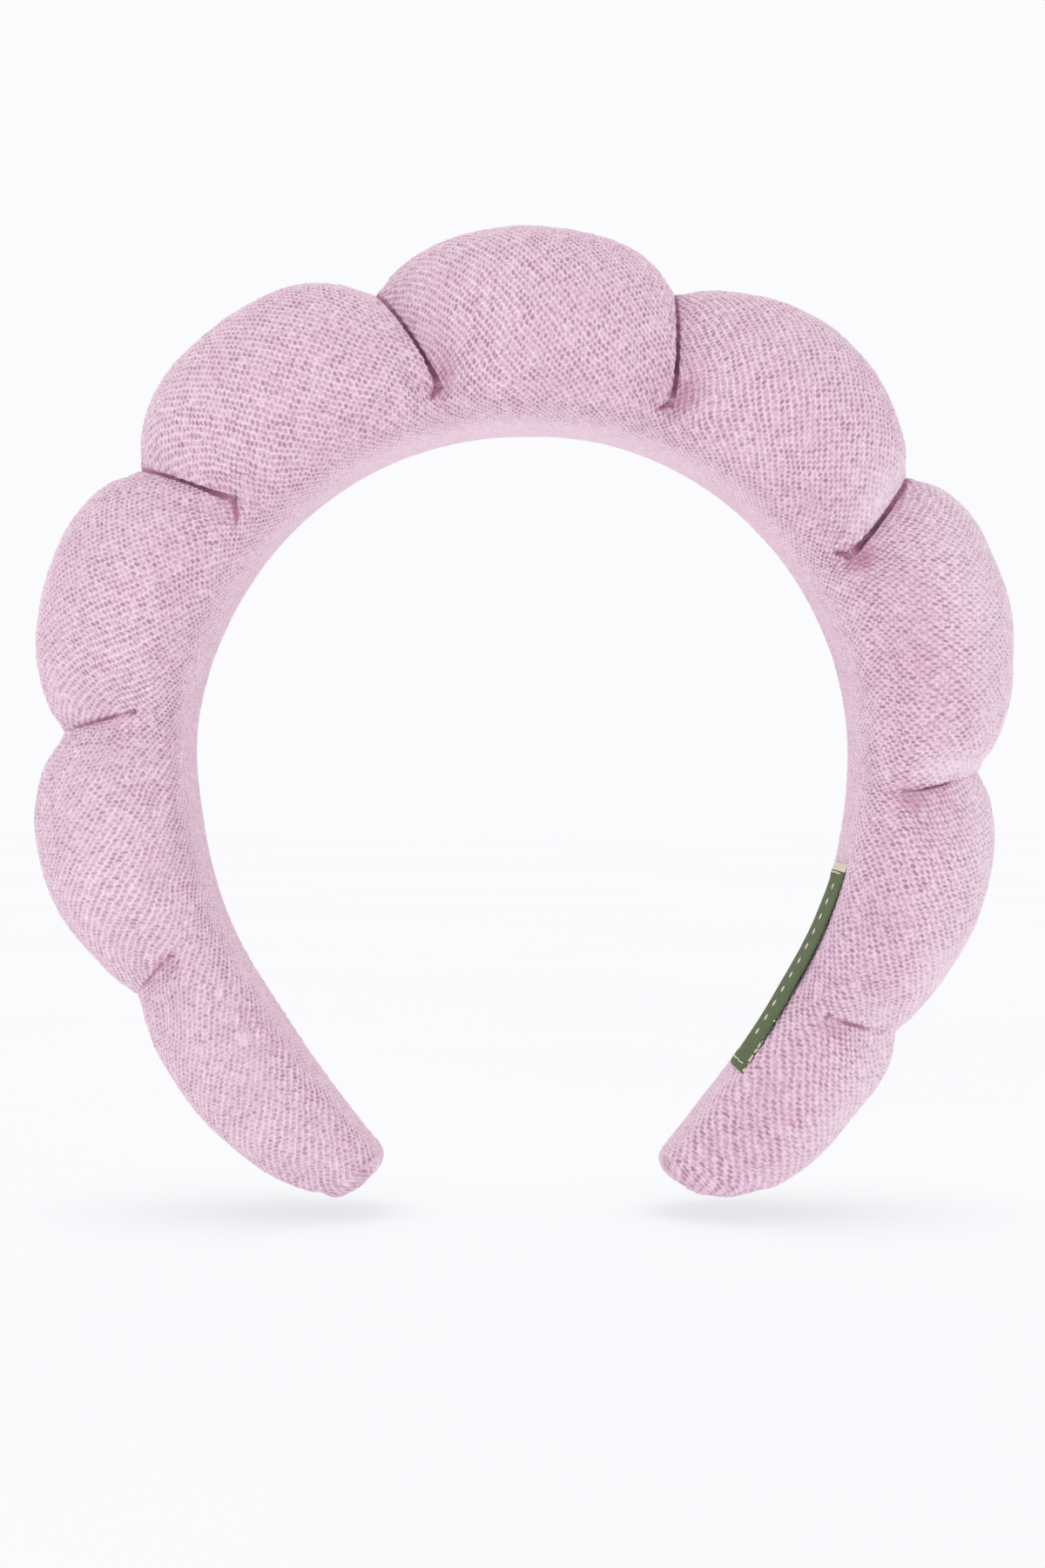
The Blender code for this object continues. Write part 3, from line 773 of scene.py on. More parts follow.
def cover_piece(cover, k):
    """The double-walled piece of the cover from mid-lobe to mid-lobe across crease k."""
    first, last = (STARTS[i] + LOBES[i].steps // 2 for i in (k - 1, k))
    lead, tail = np.zeros((0, ROWS, 3)), np.zeros((0, ROWS, 3))
    if k == 1:
        first, lead = 0, cover.caps[0][::-1]
    if k == 8:
        last, tail = TOTAL - 1, cover.caps[9]

    def over_caps(values, left=0.0, right=0.0):
        return np.pad(values[first:last + 1], ((len(lead), len(tail)), (0, 0)),
                      constant_values=((left, right), (0, 0)))

    outer = np.concatenate([lead, cover.skin[first:last + 1], tail])
    count, size = len(outer), len(outer) * ROWS
    index = np.arange(size).reshape(count, ROWS)
    strips = np.array([strip_fabric(cover, column) for column in
                       range(first - len(lead), first - len(lead) + count - 1)])
    mark, pale = quad_corners(over_caps(cover.mark)), quad_corners(over_caps(cover.pale))
    # third coordinate: painted shading; above zero painted shade, below zero painted highlight on
    # the proud lips and the sides
    shading = mark - pale * np.clip(1 - mark / 0.10, 0, 1)
    fabric = np.concatenate([strip_corners(strips[:, 0], strips[:, 1]), shading[..., None]], -1)

    # inner face of the cloth: a coarser wall, a quarter of the steps each way
    near = np.concatenate([lead, cover.base[first:last + 1], tail])
    columns = np.unique(np.concatenate([np.arange(0, count, 4), [count - 1]]))
    pick = np.ix_(columns, np.arange(0, ROWS, 4))
    inner_normals = grid_normals(near)[pick]
    thickness = (over_caps(cover.hollow) + WALL)[pick]
    inner = near[pick] - inner_normals * thickness[..., None]
    inner_count = inner.shape[0] * inner.shape[1]
    inner_index = size + np.arange(inner_count).reshape(inner.shape[:2])
    quads = np.concatenate([quad_corners(index).reshape(-1, 4),
                            quad_corners(inner_index)[..., [0, 3, 2, 1]].reshape(-1, 4)])

    points = np.concatenate([outer.reshape(-1, 3), inner.reshape(-1, 3)])
    triangles = []
    for side, flip, closed in ((0, True, k == 1), (-1, False, k == 8)):
        if not closed:
            triangles += rim_triangles(index[side], inner_index[side], flip)
            continue
        for ring, spots, turned in ((index, outer, flip), (inner_index, inner, not flip)):
            triangles += fan_triangles(ring[side], len(points), turned)
            points = np.concatenate([points, spots[side].mean(0)[None]])
    obj = cover_mesh(f"terry_cover_{k}", points, quads, np.array(triangles), fabric)

    hoop = over_caps(cover.hoop, CREASES[0].place, CREASES[9].place)
    lay = np.full(len(points), 0.5)
    lay[:size] = wale_share(hoop).ravel()
    set_point_values(obj, "lay", lay)
    # the cloth pulled flat along the inner face, most of all under the crown: a calmer bump there,
    # and paler for painted light
    flat = np.zeros(len(points))
    flat[:size] = ((1 - smoothstep(10, 46, AWAY)) * (0.35 + 0.65 * bell(hoop, 62.0))).ravel()
    set_point_values(obj, "flat", flat)
    # the same normals on both sides of each split, so that the cloth shades as one piece
    shade = grid_normals(outer)
    shade[len(lead):count - len(tail)] = cover.skin_normals[first:last + 1]
    normals = np.zeros((len(points), 3))
    normals[:size] = shade.reshape(-1, 3)
    normals[size:size + inner_count] = -inner_normals.reshape(-1, 3)
    obj.data.normals_split_custom_set_from_vertices([tuple(v) for v in normals])
    return obj


# ------------------------------------------------------------------ shader building
class Value:
    """A shader socket to calculate with: each operation adds one math node."""

    def __init__(self, graph, socket):
        self.graph = graph
        self.socket = socket

    def math(self, operation, *others):
        inputs = dict(enumerate((self, *others)))
        return self.graph.node("Math", inputs, operation=operation)

    def __add__(self, other):
        return self.math("ADD", other)

    def __sub__(self, other):
        return self.math("SUBTRACT", other)

    def __rsub__(self, other):
        return self.graph.node("Math", {0: other, 1: self}, operation="SUBTRACT")

    def __mul__(self, other):
        return self.math("MULTIPLY", other)

    def __truediv__(self, other):
        return self.math("DIVIDE", other)

    def __lt__(self, other):
        return self.math("LESS_THAN", other)

    def __gt__(self, other):
        return self.math("GREATER_THAN", other)

    def __abs__(self):
        return self.math("ABSOLUTE")

    def cos(self):
        return self.math("COSINE")

    def clamped(self):
        self.socket.node.use_clamp = True
        return self

    def ramp(self, start, end, low=0.0, high=1.0):
        """Smooth step from low at start to high at end."""
        inputs = {"Value": self, "From Min": start, "From Max": end, "To Min": low, "To Max": high}
        return self.graph.node("MapRange", inputs, interpolation_type="SMOOTHSTEP")


class Graph:
    """The node tree of a material or world."""

    def __init__(self, owner):
        self.owner = owner
        owner.use_nodes = True
        self.tree = owner.node_tree
        self.tree.nodes.clear()

    def node(self, kind, inputs=None, output=0, **properties):
        node = self.tree.nodes.new("ShaderNode" + kind)
        for name, value in properties.items():
            setattr(node, name, value)
        for key, value in (inputs or {}).items():
            if isinstance(value, Value):
                self.tree.links.new(value.socket, node.inputs[key])
            else:
                node.inputs[key].default_value = value
        return Value(self, node.outputs[output])

    def output(self, surface, kind="ShaderNodeOutputMaterial"):
        self.tree.links.new(surface.socket, self.tree.nodes.new(kind).inputs[0])
        return self.owner

    def coord(self):
        return self.node("TexCoord", output="Object")

    def attribute(self, name, output="Fac"):
        return self.node("Attribute", output=output, attribute_name=name)

    def split_attribute(self, name):
        split = self.node("SeparateXYZ", {0: self.attribute(name, "Vector")})
        return [Value(self, socket) for socket in split.socket.node.outputs]

    def noise(self, vector, scale, detail=2.0, rough=0.5):
        return self.node("TexNoise", {"Vector": vector, "Scale": scale, "Detail": detail,
                                      "Roughness": rough}, output="Fac")

    def mix(self, factor, first, second):
        """Mix of two colours, each a Value or an (r, g, b) tuple."""
        first, second = ((*c, 1.0) if isinstance(c, tuple) else c for c in (first, second))
        return self.node("Mix", {0: factor, 6: first, 7: second}, output=2, data_type="RGBA")

    def bump(self, height, strength, distance):
        return self.node("Bump", {"Strength": strength, "Distance": distance, "Height": height})

    def finish(self, inputs):
        return self.output(self.node("BsdfPrincipled", inputs))


def new_material(name):
    return Graph(bpy.data.materials.new(name))


# ------------------------------------------------------------------ materials
LOOP_TOP_HIGHLIGHT = (0.862, 0.682, 0.792)    # painted highlight on the loop tops
BODY = (0.662, 0.432, 0.556)
LOOP_HOLE_SHADE = (0.470, 0.196, 0.330)     # painted shade in the holes between the loops
BLOTCH = (0.660, 0.400, 0.545)
PAINTED_INNER_LIGHT = (0.808, 0.682, 0.752)     # painted light on the inner face, where the pile is pulled flat
FUZZ = (0.930, 0.800, 0.880)     # lit fibre ends
PAINTED_DEEP_SHADE = (0.470, 0.175, 0.320)     # painted shade beside a fold
PAINTED_FOLD_SHADE = (0.195, 0.082, 0.142)     # painted shade in the core of a fold


def terry_height(graph, coord, course, wale):
    """Height of the loops, strands and fibres of the knit."""
    # no two loops sit quite alike: both directions wander a little
    wander = 0.55
    shifted = graph.node("VectorMath", {0: coord, 1: (0.31, 0.17, 0.53)}, operation="ADD")
    course = course + (graph.noise(coord, 480.0) - 0.5) * wander
    wale = wale + (graph.noise(shifted, 480.0) - 0.5) * wander
    course, wale = (course + (wale * TAU).math("SINE") * 0.10,
                    wale + (course * TAU).math("SINE") * 0.06)
    course_wave, wale_wave = (course * TAU).cos(), (wale * TAU).cos()
    wales = graph.attribute("lay")
    ridge = wale_wave * wales + course_wave * (1.0 - wales)
    # the small gap in each loop, deeper in some loops than in others
    gap = (1.0 - course_wave) * (1.0 - wale_wave) * 0.25
    cell = graph.node("CombineXYZ", {0: course.math("FLOOR"), 1: wale.math("FLOOR")})
    per_loop = graph.node("TexWhiteNoise", {"Vector": cell}, output="Value")
    drift = graph.noise(coord, 210.0).ramp(0.32, 0.68, low=0.60, high=1.20)
    strands = (wale * (2 * TAU)).cos()             # two side by side in each wale
    tuft = graph.noise(coord, 820.0)
    fibre = graph.noise(coord, 2100.0, rough=0.65)
    height = ridge * 0.50 + 0.12
    height = height - gap * ((per_loop * 0.85 + 0.12) * drift)
    height = height + strands * 0.08
    return height + (tuft - 0.5) * 1.75 + (fibre - 0.5) * 1.95


def terry_material():
    graph = new_material("terry_knit")
    course, wale, mark = graph.split_attribute("fabric")
    coord = graph.coord()
    height = terry_height(graph, coord, course, wale)
    # painted highlight on the loop tops and painted shade in the holes between them
    hole_shade = height.ramp(-1.15, -0.30, low=1.0, high=0.0)
    patch = graph.noise(coord, 95.0, detail=3.0, rough=0.55).ramp(0.42, 0.70)
    colour = graph.mix(height.ramp(-0.50, 0.80), BODY, LOOP_TOP_HIGHLIGHT)
    colour = graph.mix(hole_shade * 0.85, colour, LOOP_HOLE_SHADE)
    colour = graph.mix(patch * 0.16, colour, BLOTCH)
    # painted highlight on the lips and sides, painted light where the pile is pulled flat, and lit
    # fibre ends wherever the cloth turns away
    flat_and_lit = graph.attribute("flat")
    colour = graph.mix((mark * -1.0).clamped() * 0.66, colour, FUZZ)
    colour = graph.mix(flat_and_lit * 0.52, colour, PAINTED_INNER_LIGHT)
    facing = graph.node("LayerWeight", {"Blend": 0.5}, output="Facing")
    edge = facing.ramp(0.52, 0.98, high=0.66) * (1.0 - (flat_and_lit * 2.2).clamped())
    off_fold = (1.0 - (mark * 4.0).clamped()).clamped()
    colour = graph.mix(edge * off_fold, colour, FUZZ)
    # painted shade in the folds: first a deeper pink, then dark in the core
    colour = graph.mix(mark.ramp(0.0, 0.42, high=0.92), colour, PAINTED_DEEP_SHADE)
    colour = graph.mix(mark.ramp(0.34, 0.95, high=0.88), colour, PAINTED_FOLD_SHADE)
    calm = 1.0 - flat_and_lit * 0.6
    return graph.finish({
        "Base Color": colour, "Roughness": 0.95, "Specular IOR Level": 0.12,
        "Sheen Weight": 0.35, "Sheen Roughness": 0.45, "Sheen Tint": (1.0, 0.90, 0.96, 1.0),
        "Normal": graph.bump(height * calm, strength=0.85, distance=0.00025)})


def thread_material(name, light, dark):
    """Three-ply twisted thread."""
    graph = new_material(name)
    length, turn, _ = graph.split_attribute("strand")
    ply = (length * 9.0 + turn * (TAU * 3)).cos()
    shade = ply * 0.35 + graph.noise(graph.coord(), 5200.0, rough=0.6)
    return graph.finish({
        "Base Color": graph.mix(shade.ramp(0.05, 0.85), dark, light), "Roughness": 0.72,
        "Specular IOR Level": 0.25, "Sheen Weight": 0.3,
        "Normal": graph.bump(shade, strength=0.8, distance=0.00008)})


def weave_material():
    """Green ribbon with cream lozenges; the attribute holds lengthwise and crosswise mm."""
    graph = new_material("woven_ribbon")
    length, across, _ = graph.split_attribute("weave")
    coord = graph.coord()
    weft = (length * (TAU / 0.30)).cos()
    warp = (across * (TAU / 0.36) + weft * 0.5).cos()
    cloth = weft * 0.5 + warp * 0.5 + (graph.noise(coord, 3800.0, rough=0.6) - 0.5) * 1.4
    green = graph.mix(cloth.ramp(-0.9, 0.9), (0.052, 0.088, 0.034), (0.142, 0.200, 0.084))
    patch = graph.noise(coord, 260.0).ramp(0.35, 0.7)
    green = graph.mix(patch * 0.35, green, (0.105, 0.160, 0.068))
    # a row of small woven lozenges, evenly spaced, off the middle
    pitch, half = 3.0, 0.84
    from_centre = abs((length / pitch).math("FRACT") - 0.5) * pitch
    off_row = abs(across + 1.2)
    lozenge = (from_centre / half + off_row / half) < 1.0
    motif = lozenge * ((length > 4.0) * (length < 36.0))
    # cream also shows at the first end and in broken specks on the last edges
    edge = (abs(across) > LABEL_WIDTH / 2 - 0.20) * (length > 31.0)
    broken = graph.noise(coord, 900.0, detail=1.0) > 0.50
    cream = motif.math("MAXIMUM", edge * broken).math("MAXIMUM", length < 1.5).clamped()
    pale = graph.mix(cloth.ramp(-0.8, 0.8), (0.640, 0.570, 0.400), (0.900, 0.860, 0.720))
    return graph.finish({
        "Base Color": graph.mix(cream, green, pale), "Roughness": 0.70,
        "Specular IOR Level": 0.20, "Sheen Weight": 0.06,
        "Normal": graph.bump(cloth + cream * 1.2, strength=0.9, distance=0.00008)})


def sponge_material():
    graph = new_material("open_cell_sponge")
    coord = graph.coord()
    cells = graph.node("TexVoronoi", {"Scale": 900.0, "Vector": coord}, output="Distance")
    pores = cells.ramp(0.10, 0.55)
    patch = graph.noise(coord, 180.0, detail=3.0)
    base = graph.mix(patch, (0.780, 0.730, 0.600), (0.880, 0.845, 0.740))
    return graph.finish({
        "Base Color": graph.mix(pores, (0.520, 0.460, 0.340), base), "Roughness": 0.95,
        "Specular IOR Level": 0.1,
        "Normal": graph.bump(pores, strength=1.0, distance=0.0004)})


def plastic_material():
    graph = new_material("core_plastic")
    coord = graph.coord()
    cloud = graph.noise(coord, 60.0, detail=3.0)
    speck = graph.noise(coord, 1400.0)
    return graph.finish({
        "Base Color": graph.mix(cloud, (0.780, 0.770, 0.745), (0.860, 0.850, 0.830)),
        "Roughness": speck.ramp(0.3, 0.7, low=0.32, high=0.50), "Specular IOR Level": 0.45,
        "Normal": graph.bump(speck, strength=0.25, distance=0.00005)})


# ------------------------------------------------------------------ finishing the pieces
BLEND_REACH = 0.009              # metres to either side of a joint


def finish_piece(obj, k, material, replaced):
    """Gives a piece its material, bakes its placement into its mesh and hides the CAD parts that it
    replaces.
    """
    obj.data.materials.append(material)
    reach = guide(CREASES[k].place)[1] * BLEND_REACH
    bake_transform(obj)
    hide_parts(*replaced)


def both_lobes(prefix, k):
    return prefix + LOBES[k - 1].name, prefix + LOBES[k].name


cover = build_cover()
pieces = [cover_piece(cover, k) for k in FOLDED]
TERRY = terry_material()
for k, piece in zip(FOLDED, pieces):
    finish_piece(piece, k, TERRY, both_lobes("cover_", k))


# ------------------------------------------------------------------ threads
def plain_object(name, points, faces, attribute=None, values=None):
    """Smooth object from points in mm, with an optional vector attribute on the points."""
    mesh = bpy.data.meshes.new(name)
    mesh.from_pydata((np.asarray(points) * MM).tolist(), [], faces)
    if attribute:
        layer = mesh.attributes.new(attribute, "FLOAT_VECTOR", "POINT")
        layer.data.foreach_set("vector", np.array(values, np.float32).ravel())
    mesh.polygons.foreach_set("use_smooth", np.ones(len(mesh.polygons), bool))
    work = bmesh.new()
    work.from_mesh(mesh)
    bmesh.ops.recalc_face_normals(work, faces=work.faces)
    work.to_mesh(mesh)
    work.free()
    obj = bpy.data.objects.new(name, mesh)
    scene.collection.objects.link(obj)
    return obj


def thread_object(name, paths, radius, sides=8):
    """Round threads swept along paths, closed at both ends; 'strand' is length along, turn."""
    points, faces, strand = [], [], []
    for path in paths:
        tangents = np.gradient(path, axis=0)
        tangents /= np.linalg.norm(tangents, axis=1, keepdims=True) + 1e-12
        up = np.array([0.31, 0.74, 0.59])
        steps = np.linalg.norm(np.diff(path, axis=0), axis=1)
        length = np.concatenate([[0], np.cumsum(steps)])
        base, last = len(points), len(path) - 1
        for i, point in enumerate(path):
            across = np.cross(tangents[i], up)
            across /= np.linalg.norm(across)
            up = np.cross(across, tangents[i])
            taper = 0.55 if i in (0, last) else 1.0
            for k in range(sides):
                turn = TAU * k / sides
                ply = 1 + 0.10 * math.cos(3 * turn + 5.0 * length[i] / radius * 0.35)
                points.append(point + radius * taper * ply
                              * (math.cos(turn) * across + math.sin(turn) * up))
                strand.append((length[i], turn / TAU, 0.0))
        rings = [[base + i * sides + k for k in range(sides)] for i in range(last + 1)]
        for near, far in zip(rings, rings[1:]):
            for k in range(sides):
                n = (k + 1) % sides
                faces.append((near[k], far[k], far[n], near[n]))
        for end, way in ((0, -1), (last, 1)):
            tip = len(points)
            points.append(path[end] + tangents[end] * radius * 0.4 * way)
            strand.append((length[end], 0.0, 0.0))
            for k in range(sides):
                triangle = (rings[end][k], rings[end][(k + 1) % sides], tip)
                faces.append(triangle[::-1] if end else triangle)
    return plain_object(name, points, faces, "strand", strand)


def skin_at(column, row, lift):
    """Points on the cover, under the knit, raised by lift."""
    column = np.clip(column, 0, TOTAL - 1.001)
    normal = sample(cover.body_normals, column, row)
    normal /= np.linalg.norm(normal, axis=-1, keepdims=True)
    return sample(cover.body, column, row) + normal * np.asarray(lift)[..., None]


THREAD = thread_material("sewing_thread", light=(0.830, 0.610, 0.730), dark=(0.520, 0.290, 0.410))
CINCH = thread_material("cinch_thread", light=(0.560, 0.330, 0.450), dark=(0.300, 0.140, 0.215))
CREAM = thread_material("label_thread", light=(0.860, 0.810, 0.650), dark=(0.560, 0.500, 0.350))
THREAD_RADIUS, FINE_RADIUS = 0.20, 0.13
STITCH_PITCH = 3.4
STITCH_STEPS = np.linspace(0, 1, 9)
STITCH_ARCH = np.sin(np.pi * STITCH_STEPS)
FINE_STEPS = np.linspace(0, 1, 7)
FINE_ARCH = np.sin(np.pi * FINE_STEPS) ** 0.7
END_MARGIN = 2.0                 # no seam stitches nearer than this to the open ends


def seam_stitches(k, start, end):
    """Ladder stitches across the groove of the closing seam between two hoop distances."""
    paths = []
    count = int((end - start) // STITCH_PITCH)
    for j in range(count):
        hoop = start + (j + 0.5) * (end - start) / count
        if not CREASES[0].place + END_MARGIN <= hoop <= CREASES[9].place - END_MARGIN:
            continue
        wobble = 0.30 * math.sin(j * 2.4 + k)
        rows = -2.8 - wobble + (5.6 + 2 * wobble) * STITCH_STEPS
        run = hoop + 1.5 * (STITCH_STEPS - 0.5) + 0.15 * math.sin(j * 1.7)
        columns = np.interp(run, cover.hoop[:, 0], np.arange(TOTAL))
        paths.append(skin_at(columns, rows, 0.34 * STITCH_ARCH ** 0.6 - 0.30 + 0.22 * STITCH_ARCH))
    seam = thread_object(f"closing_seam_{k}", paths, THREAD_RADIUS)
    finish_piece(seam, k, THREAD, both_lobes("seam_thread_", k))


def cinch_thread(k, replaced):
    """Thread sunk in the bottom of a fold over the crest, with tack stitches at its two ends."""
    tack = math.radians(CREASES[k].tack) + 0.02
    back, front = (int(np.argmin(np.abs(ROW_PHI - phi))) for phi in (tack, TAU - tack))
    column = STARTS[k]
    paths = [skin_at(float(column), np.arange(back, front + 1, 2), -0.12)]
    for row, sense in ((back, -1), (front, 1)):
        for n in range(2):
            rows = row + sense * (-1.8 + 4.2 * STITCH_STEPS + 1.3 * n)
            columns = column + (STITCH_STEPS - 0.5) * (7.0 - 13.0 * n)
            paths.append(skin_at(columns, rows, -0.45 + 0.62 * STITCH_ARCH ** 0.8))
    cinch = thread_object(f"gather_thread_{k}", paths, THREAD_RADIUS)
    finish_piece(cinch, k, CINCH, [replaced])


def closing_stitches(k, end):
    """Eleven stitches, spaced round the tip, that draw the tube shut."""
    cap = cover.caps[k]
    ahead = guide(CREASES[k].place)[1] * end.facing
    paths = []
    for j in range(11):
        row = int(round((j + 0.3) * ROWS / 11)) % ROWS
        part = 0.42 + 0.40 * FINE_STEPS + 0.05 * math.sin(j * 2.1)
        rings = end.stitch_from + (end.stitch_to - end.stitch_from) * part
        paths.append(sample(cap, rings, row) + ahead * (-0.22 + 0.34 * FINE_ARCH)[:, None])
    close = thread_object(f"closing_stitches_{end.side}", paths, FINE_RADIUS)
    close.data.materials.append(THREAD)
    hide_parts("end_closure_" + end.side)
    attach(close, end.side + "_tip")


splits = [0.5 * (CREASES[i].place + CREASES[i + 1].place) for i in range(1, 8)]
splits = [CREASES[0].place, *splits, CREASES[9].place]
for k in FOLDED:
    seam_stitches(k, splits[k - 1], splits[k])
for k in FOLDED:
    side, number = ("left", 5 - k) if k < 5 else ("right", k - 4)
    cinch_thread(k, f"cinch_thread_{side}_{number}")
for k, end in ENDS.items():
    closing_stitches(k, end)

# ------------------------------------------------------------------ woven label
# It lies on the front half of the inner face of the right leg, across the last crease
LABEL_FROM, LABEL_TO = 114.4, 156.6    # hoop distances of its ends
LABEL_LENGTH = LABEL_TO - LABEL_FROM
LABEL_WIDTH, LABEL_THICK = 11.5, 0.26
LABEL_CENTRE = -4.6                    # y of its middle line at the upper end
LABEL_DRIFT = -1.7                     # and how far that moves by the lower end
LABEL_STEPS, LABEL_ROWS = 150, 34
LABEL_CREASE = 8


def label_base():
    """Points of the label on the cover's base surface, and normals to the middle of the hoop."""
    phi = np.linspace(-math.pi / 2, 0.6, 600)
    points = np.zeros((LABEL_STEPS + 1, LABEL_ROWS + 1, 3))
    for i, hoop in enumerate(np.linspace(LABEL_FROM, LABEL_TO, LABEL_STEPS + 1)):
        line = surface_at(np.full(600, hoop), phi % TAU)
        steps = np.linalg.norm(np.diff(line, axis=0), axis=1)
        run = np.concatenate([[0], np.cumsum(steps)])
        middle = LABEL_CENTRE + LABEL_DRIFT * (hoop - LABEL_FROM) / LABEL_LENGTH
        want = np.interp(middle, line[:, 1], run) + np.linspace(
            -LABEL_WIDTH / 2, LABEL_WIDTH / 2, LABEL_ROWS + 1)
        points[i] = np.stack([np.interp(want, run, line[:, c]) for c in range(3)], -1)
    normals = np.cross(np.gradient(points, axis=1), np.gradient(points, axis=0))
    return points, normals / np.linalg.norm(normals, axis=-1, keepdims=True)


def label_drape(points, normals):
    """Height of the finished cover over the label's base points, bridged over hollows."""
    columns = np.nonzero((cover.hoop.min(1) > 108) & (cover.hoop.max(1) < 168))[0]
    spots = cover.skin[columns][:, np.nonzero(AWAY < 95)[0]].reshape(-1, 3)
    tree = KDTree(len(spots))
    for i, spot in enumerate(spots):
        tree.insert(spot, i)
    tree.balance()
    height = np.zeros(points.shape[:2])
    for at in np.ndindex(height.shape):
        here, normal = Vector(points[at]), Vector(normals[at])
        total_weight, total_height = 1e-6, 0.0
        for spot, _, _ in tree.find_range(points[at], 1.5):
            offset = spot - here
            above = offset.dot(normal)
            weight = math.exp(-(offset.length_squared - above * above) / 0.5)
            total_weight += weight
            total_height += weight * above
        height[at] = total_height / total_weight
    for _ in range(14):
        pad = np.pad(height, 1, mode="edge")
        smooth = (pad[:-2, 1:-1] + pad[2:, 1:-1] + pad[1:-1, :-2] + pad[1:-1, 2:]
                  + 2 * pad[1:-1, 1:-1]) / 6
        height = np.maximum(smooth, height - 0.05)
    return height


def build_label():
    """Makes the label and returns its upper face and normals."""
    points, normals = label_base()
    height = label_drape(points, normals)
    length, across = np.meshgrid(
        np.linspace(LABEL_FROM, LABEL_TO, LABEL_STEPS + 1) - LABEL_FROM,
        np.linspace(-LABEL_WIDTH / 2, LABEL_WIDTH / 2, LABEL_ROWS + 1), indexing="ij")
    ripple = (0.09 * noise(length / 5.5, across / 7.0, 2.2)
              + 0.04 * noise(length / 2.0, across / 3.0, 5.2))
    end_gap = np.minimum(length, LABEL_LENGTH - length)
    edge_gap = LABEL_WIDTH / 2 - np.abs(across)
    folded = 0.14 * (1 - smoothstep(2.6, 3.1, end_gap)) * smoothstep(0.0, 0.5, end_gap)
    rib = 0.03 * np.cos(TAU * across / 0.7)
    selvedge = 0.05 * bell(edge_gap - 0.30, 0.20)
    pulled = 0.12 * bell(edge_gap, 0.9)
    # held at its ends, it spans the hollow face
    bridge = 0.70 * np.sin(np.pi * np.clip(length / LABEL_LENGTH, 0, 1)) ** 0.8
    under = points + normals * (height + 0.16 + bridge + ripple - pulled)[..., None]
    thick = LABEL_THICK * (0.55 + 0.45 * smoothstep(0, 0.4, np.minimum(end_gap, edge_gap)))
    upper = under + normals * (thick + folded + rib + selvedge)[..., None]

    index = np.arange(length.size).reshape(length.shape)
    top = np.stack([index[:-1, :-1], index[1:, :-1], index[1:, 1:], index[:-1, 1:]], -1)
    top = top.reshape(-1, 4)
    edge = np.concatenate([index[0, :-1], index[:-1, -1], index[-1, :0:-1], index[:0:-1, 0]])
    after = np.roll(edge, -1)
    sides = np.stack([edge, after, after + index.size, edge + index.size], -1)
    faces = np.concatenate([top, top[:, ::-1] + index.size, sides]).tolist()
    # length, width, and 1 on the upper face
    weave = np.concatenate([np.stack([length.ravel(), across.ravel(), np.full(index.size, face)], -1)
                            for face in (1.0, 0.0)])
    both = np.concatenate([upper.reshape(-1, 3), under.reshape(-1, 3)])
    label = plain_object("woven_label", both, faces, "weave", weave)
    finish_piece(label, LABEL_CREASE, weave_material(), ("label_upper", "label_lower"))
    return upper, normals


def label_stitches(end, length, upper, normals):
    """A row of seven stitches across one end of the label."""
    paths = []
    for j in range(7):
        column = (length + 0.10 * math.sin(j * 2.0)) / LABEL_LENGTH * LABEL_STEPS
        across = -4.7 + j * 1.40 + 0.95 * FINE_STEPS
        rows = (across / LABEL_WIDTH + 0.5) * LABEL_ROWS
        lift = (-0.12 + 0.30 * FINE_ARCH)[:, None]
        paths.append(sample(upper, column, rows) + normals[int(column), rows.astype(int)] * lift)
    stitches = thread_object("label_stitches_" + end, paths, FINE_RADIUS)
    finish_piece(stitches, LABEL_CREASE, CREAM, ["label_stitch_" + end])


label_upper, label_normals = build_label()
for end, length in (("upper", 1.9), ("lower", LABEL_LENGTH - 1.5)):
    label_stitches(end, length, label_upper, label_normals)

# ------------------------------------------------------------------ sponge filling and core band
SPONGE, PLASTIC = sponge_material(), plastic_material()
SPONGE_POINTS, SPONGE_STEPS = 48, 18    # round the section, along the lobe
CREASE_GAP, TIP_GAP = 2.0, 2.6          # between the sponge and the lobe's ends
# Half width of the core band: distance from the crown, half width
CORE_HALF_WIDTH = ((0, 11.0), (120, 9.5), (181, 6.5))
CORE_PLAY = 0.45
SLOT_MIDDLE, SLOT_HALF = 5.0, 1.35      # the slot's height above the guide line, half thickness


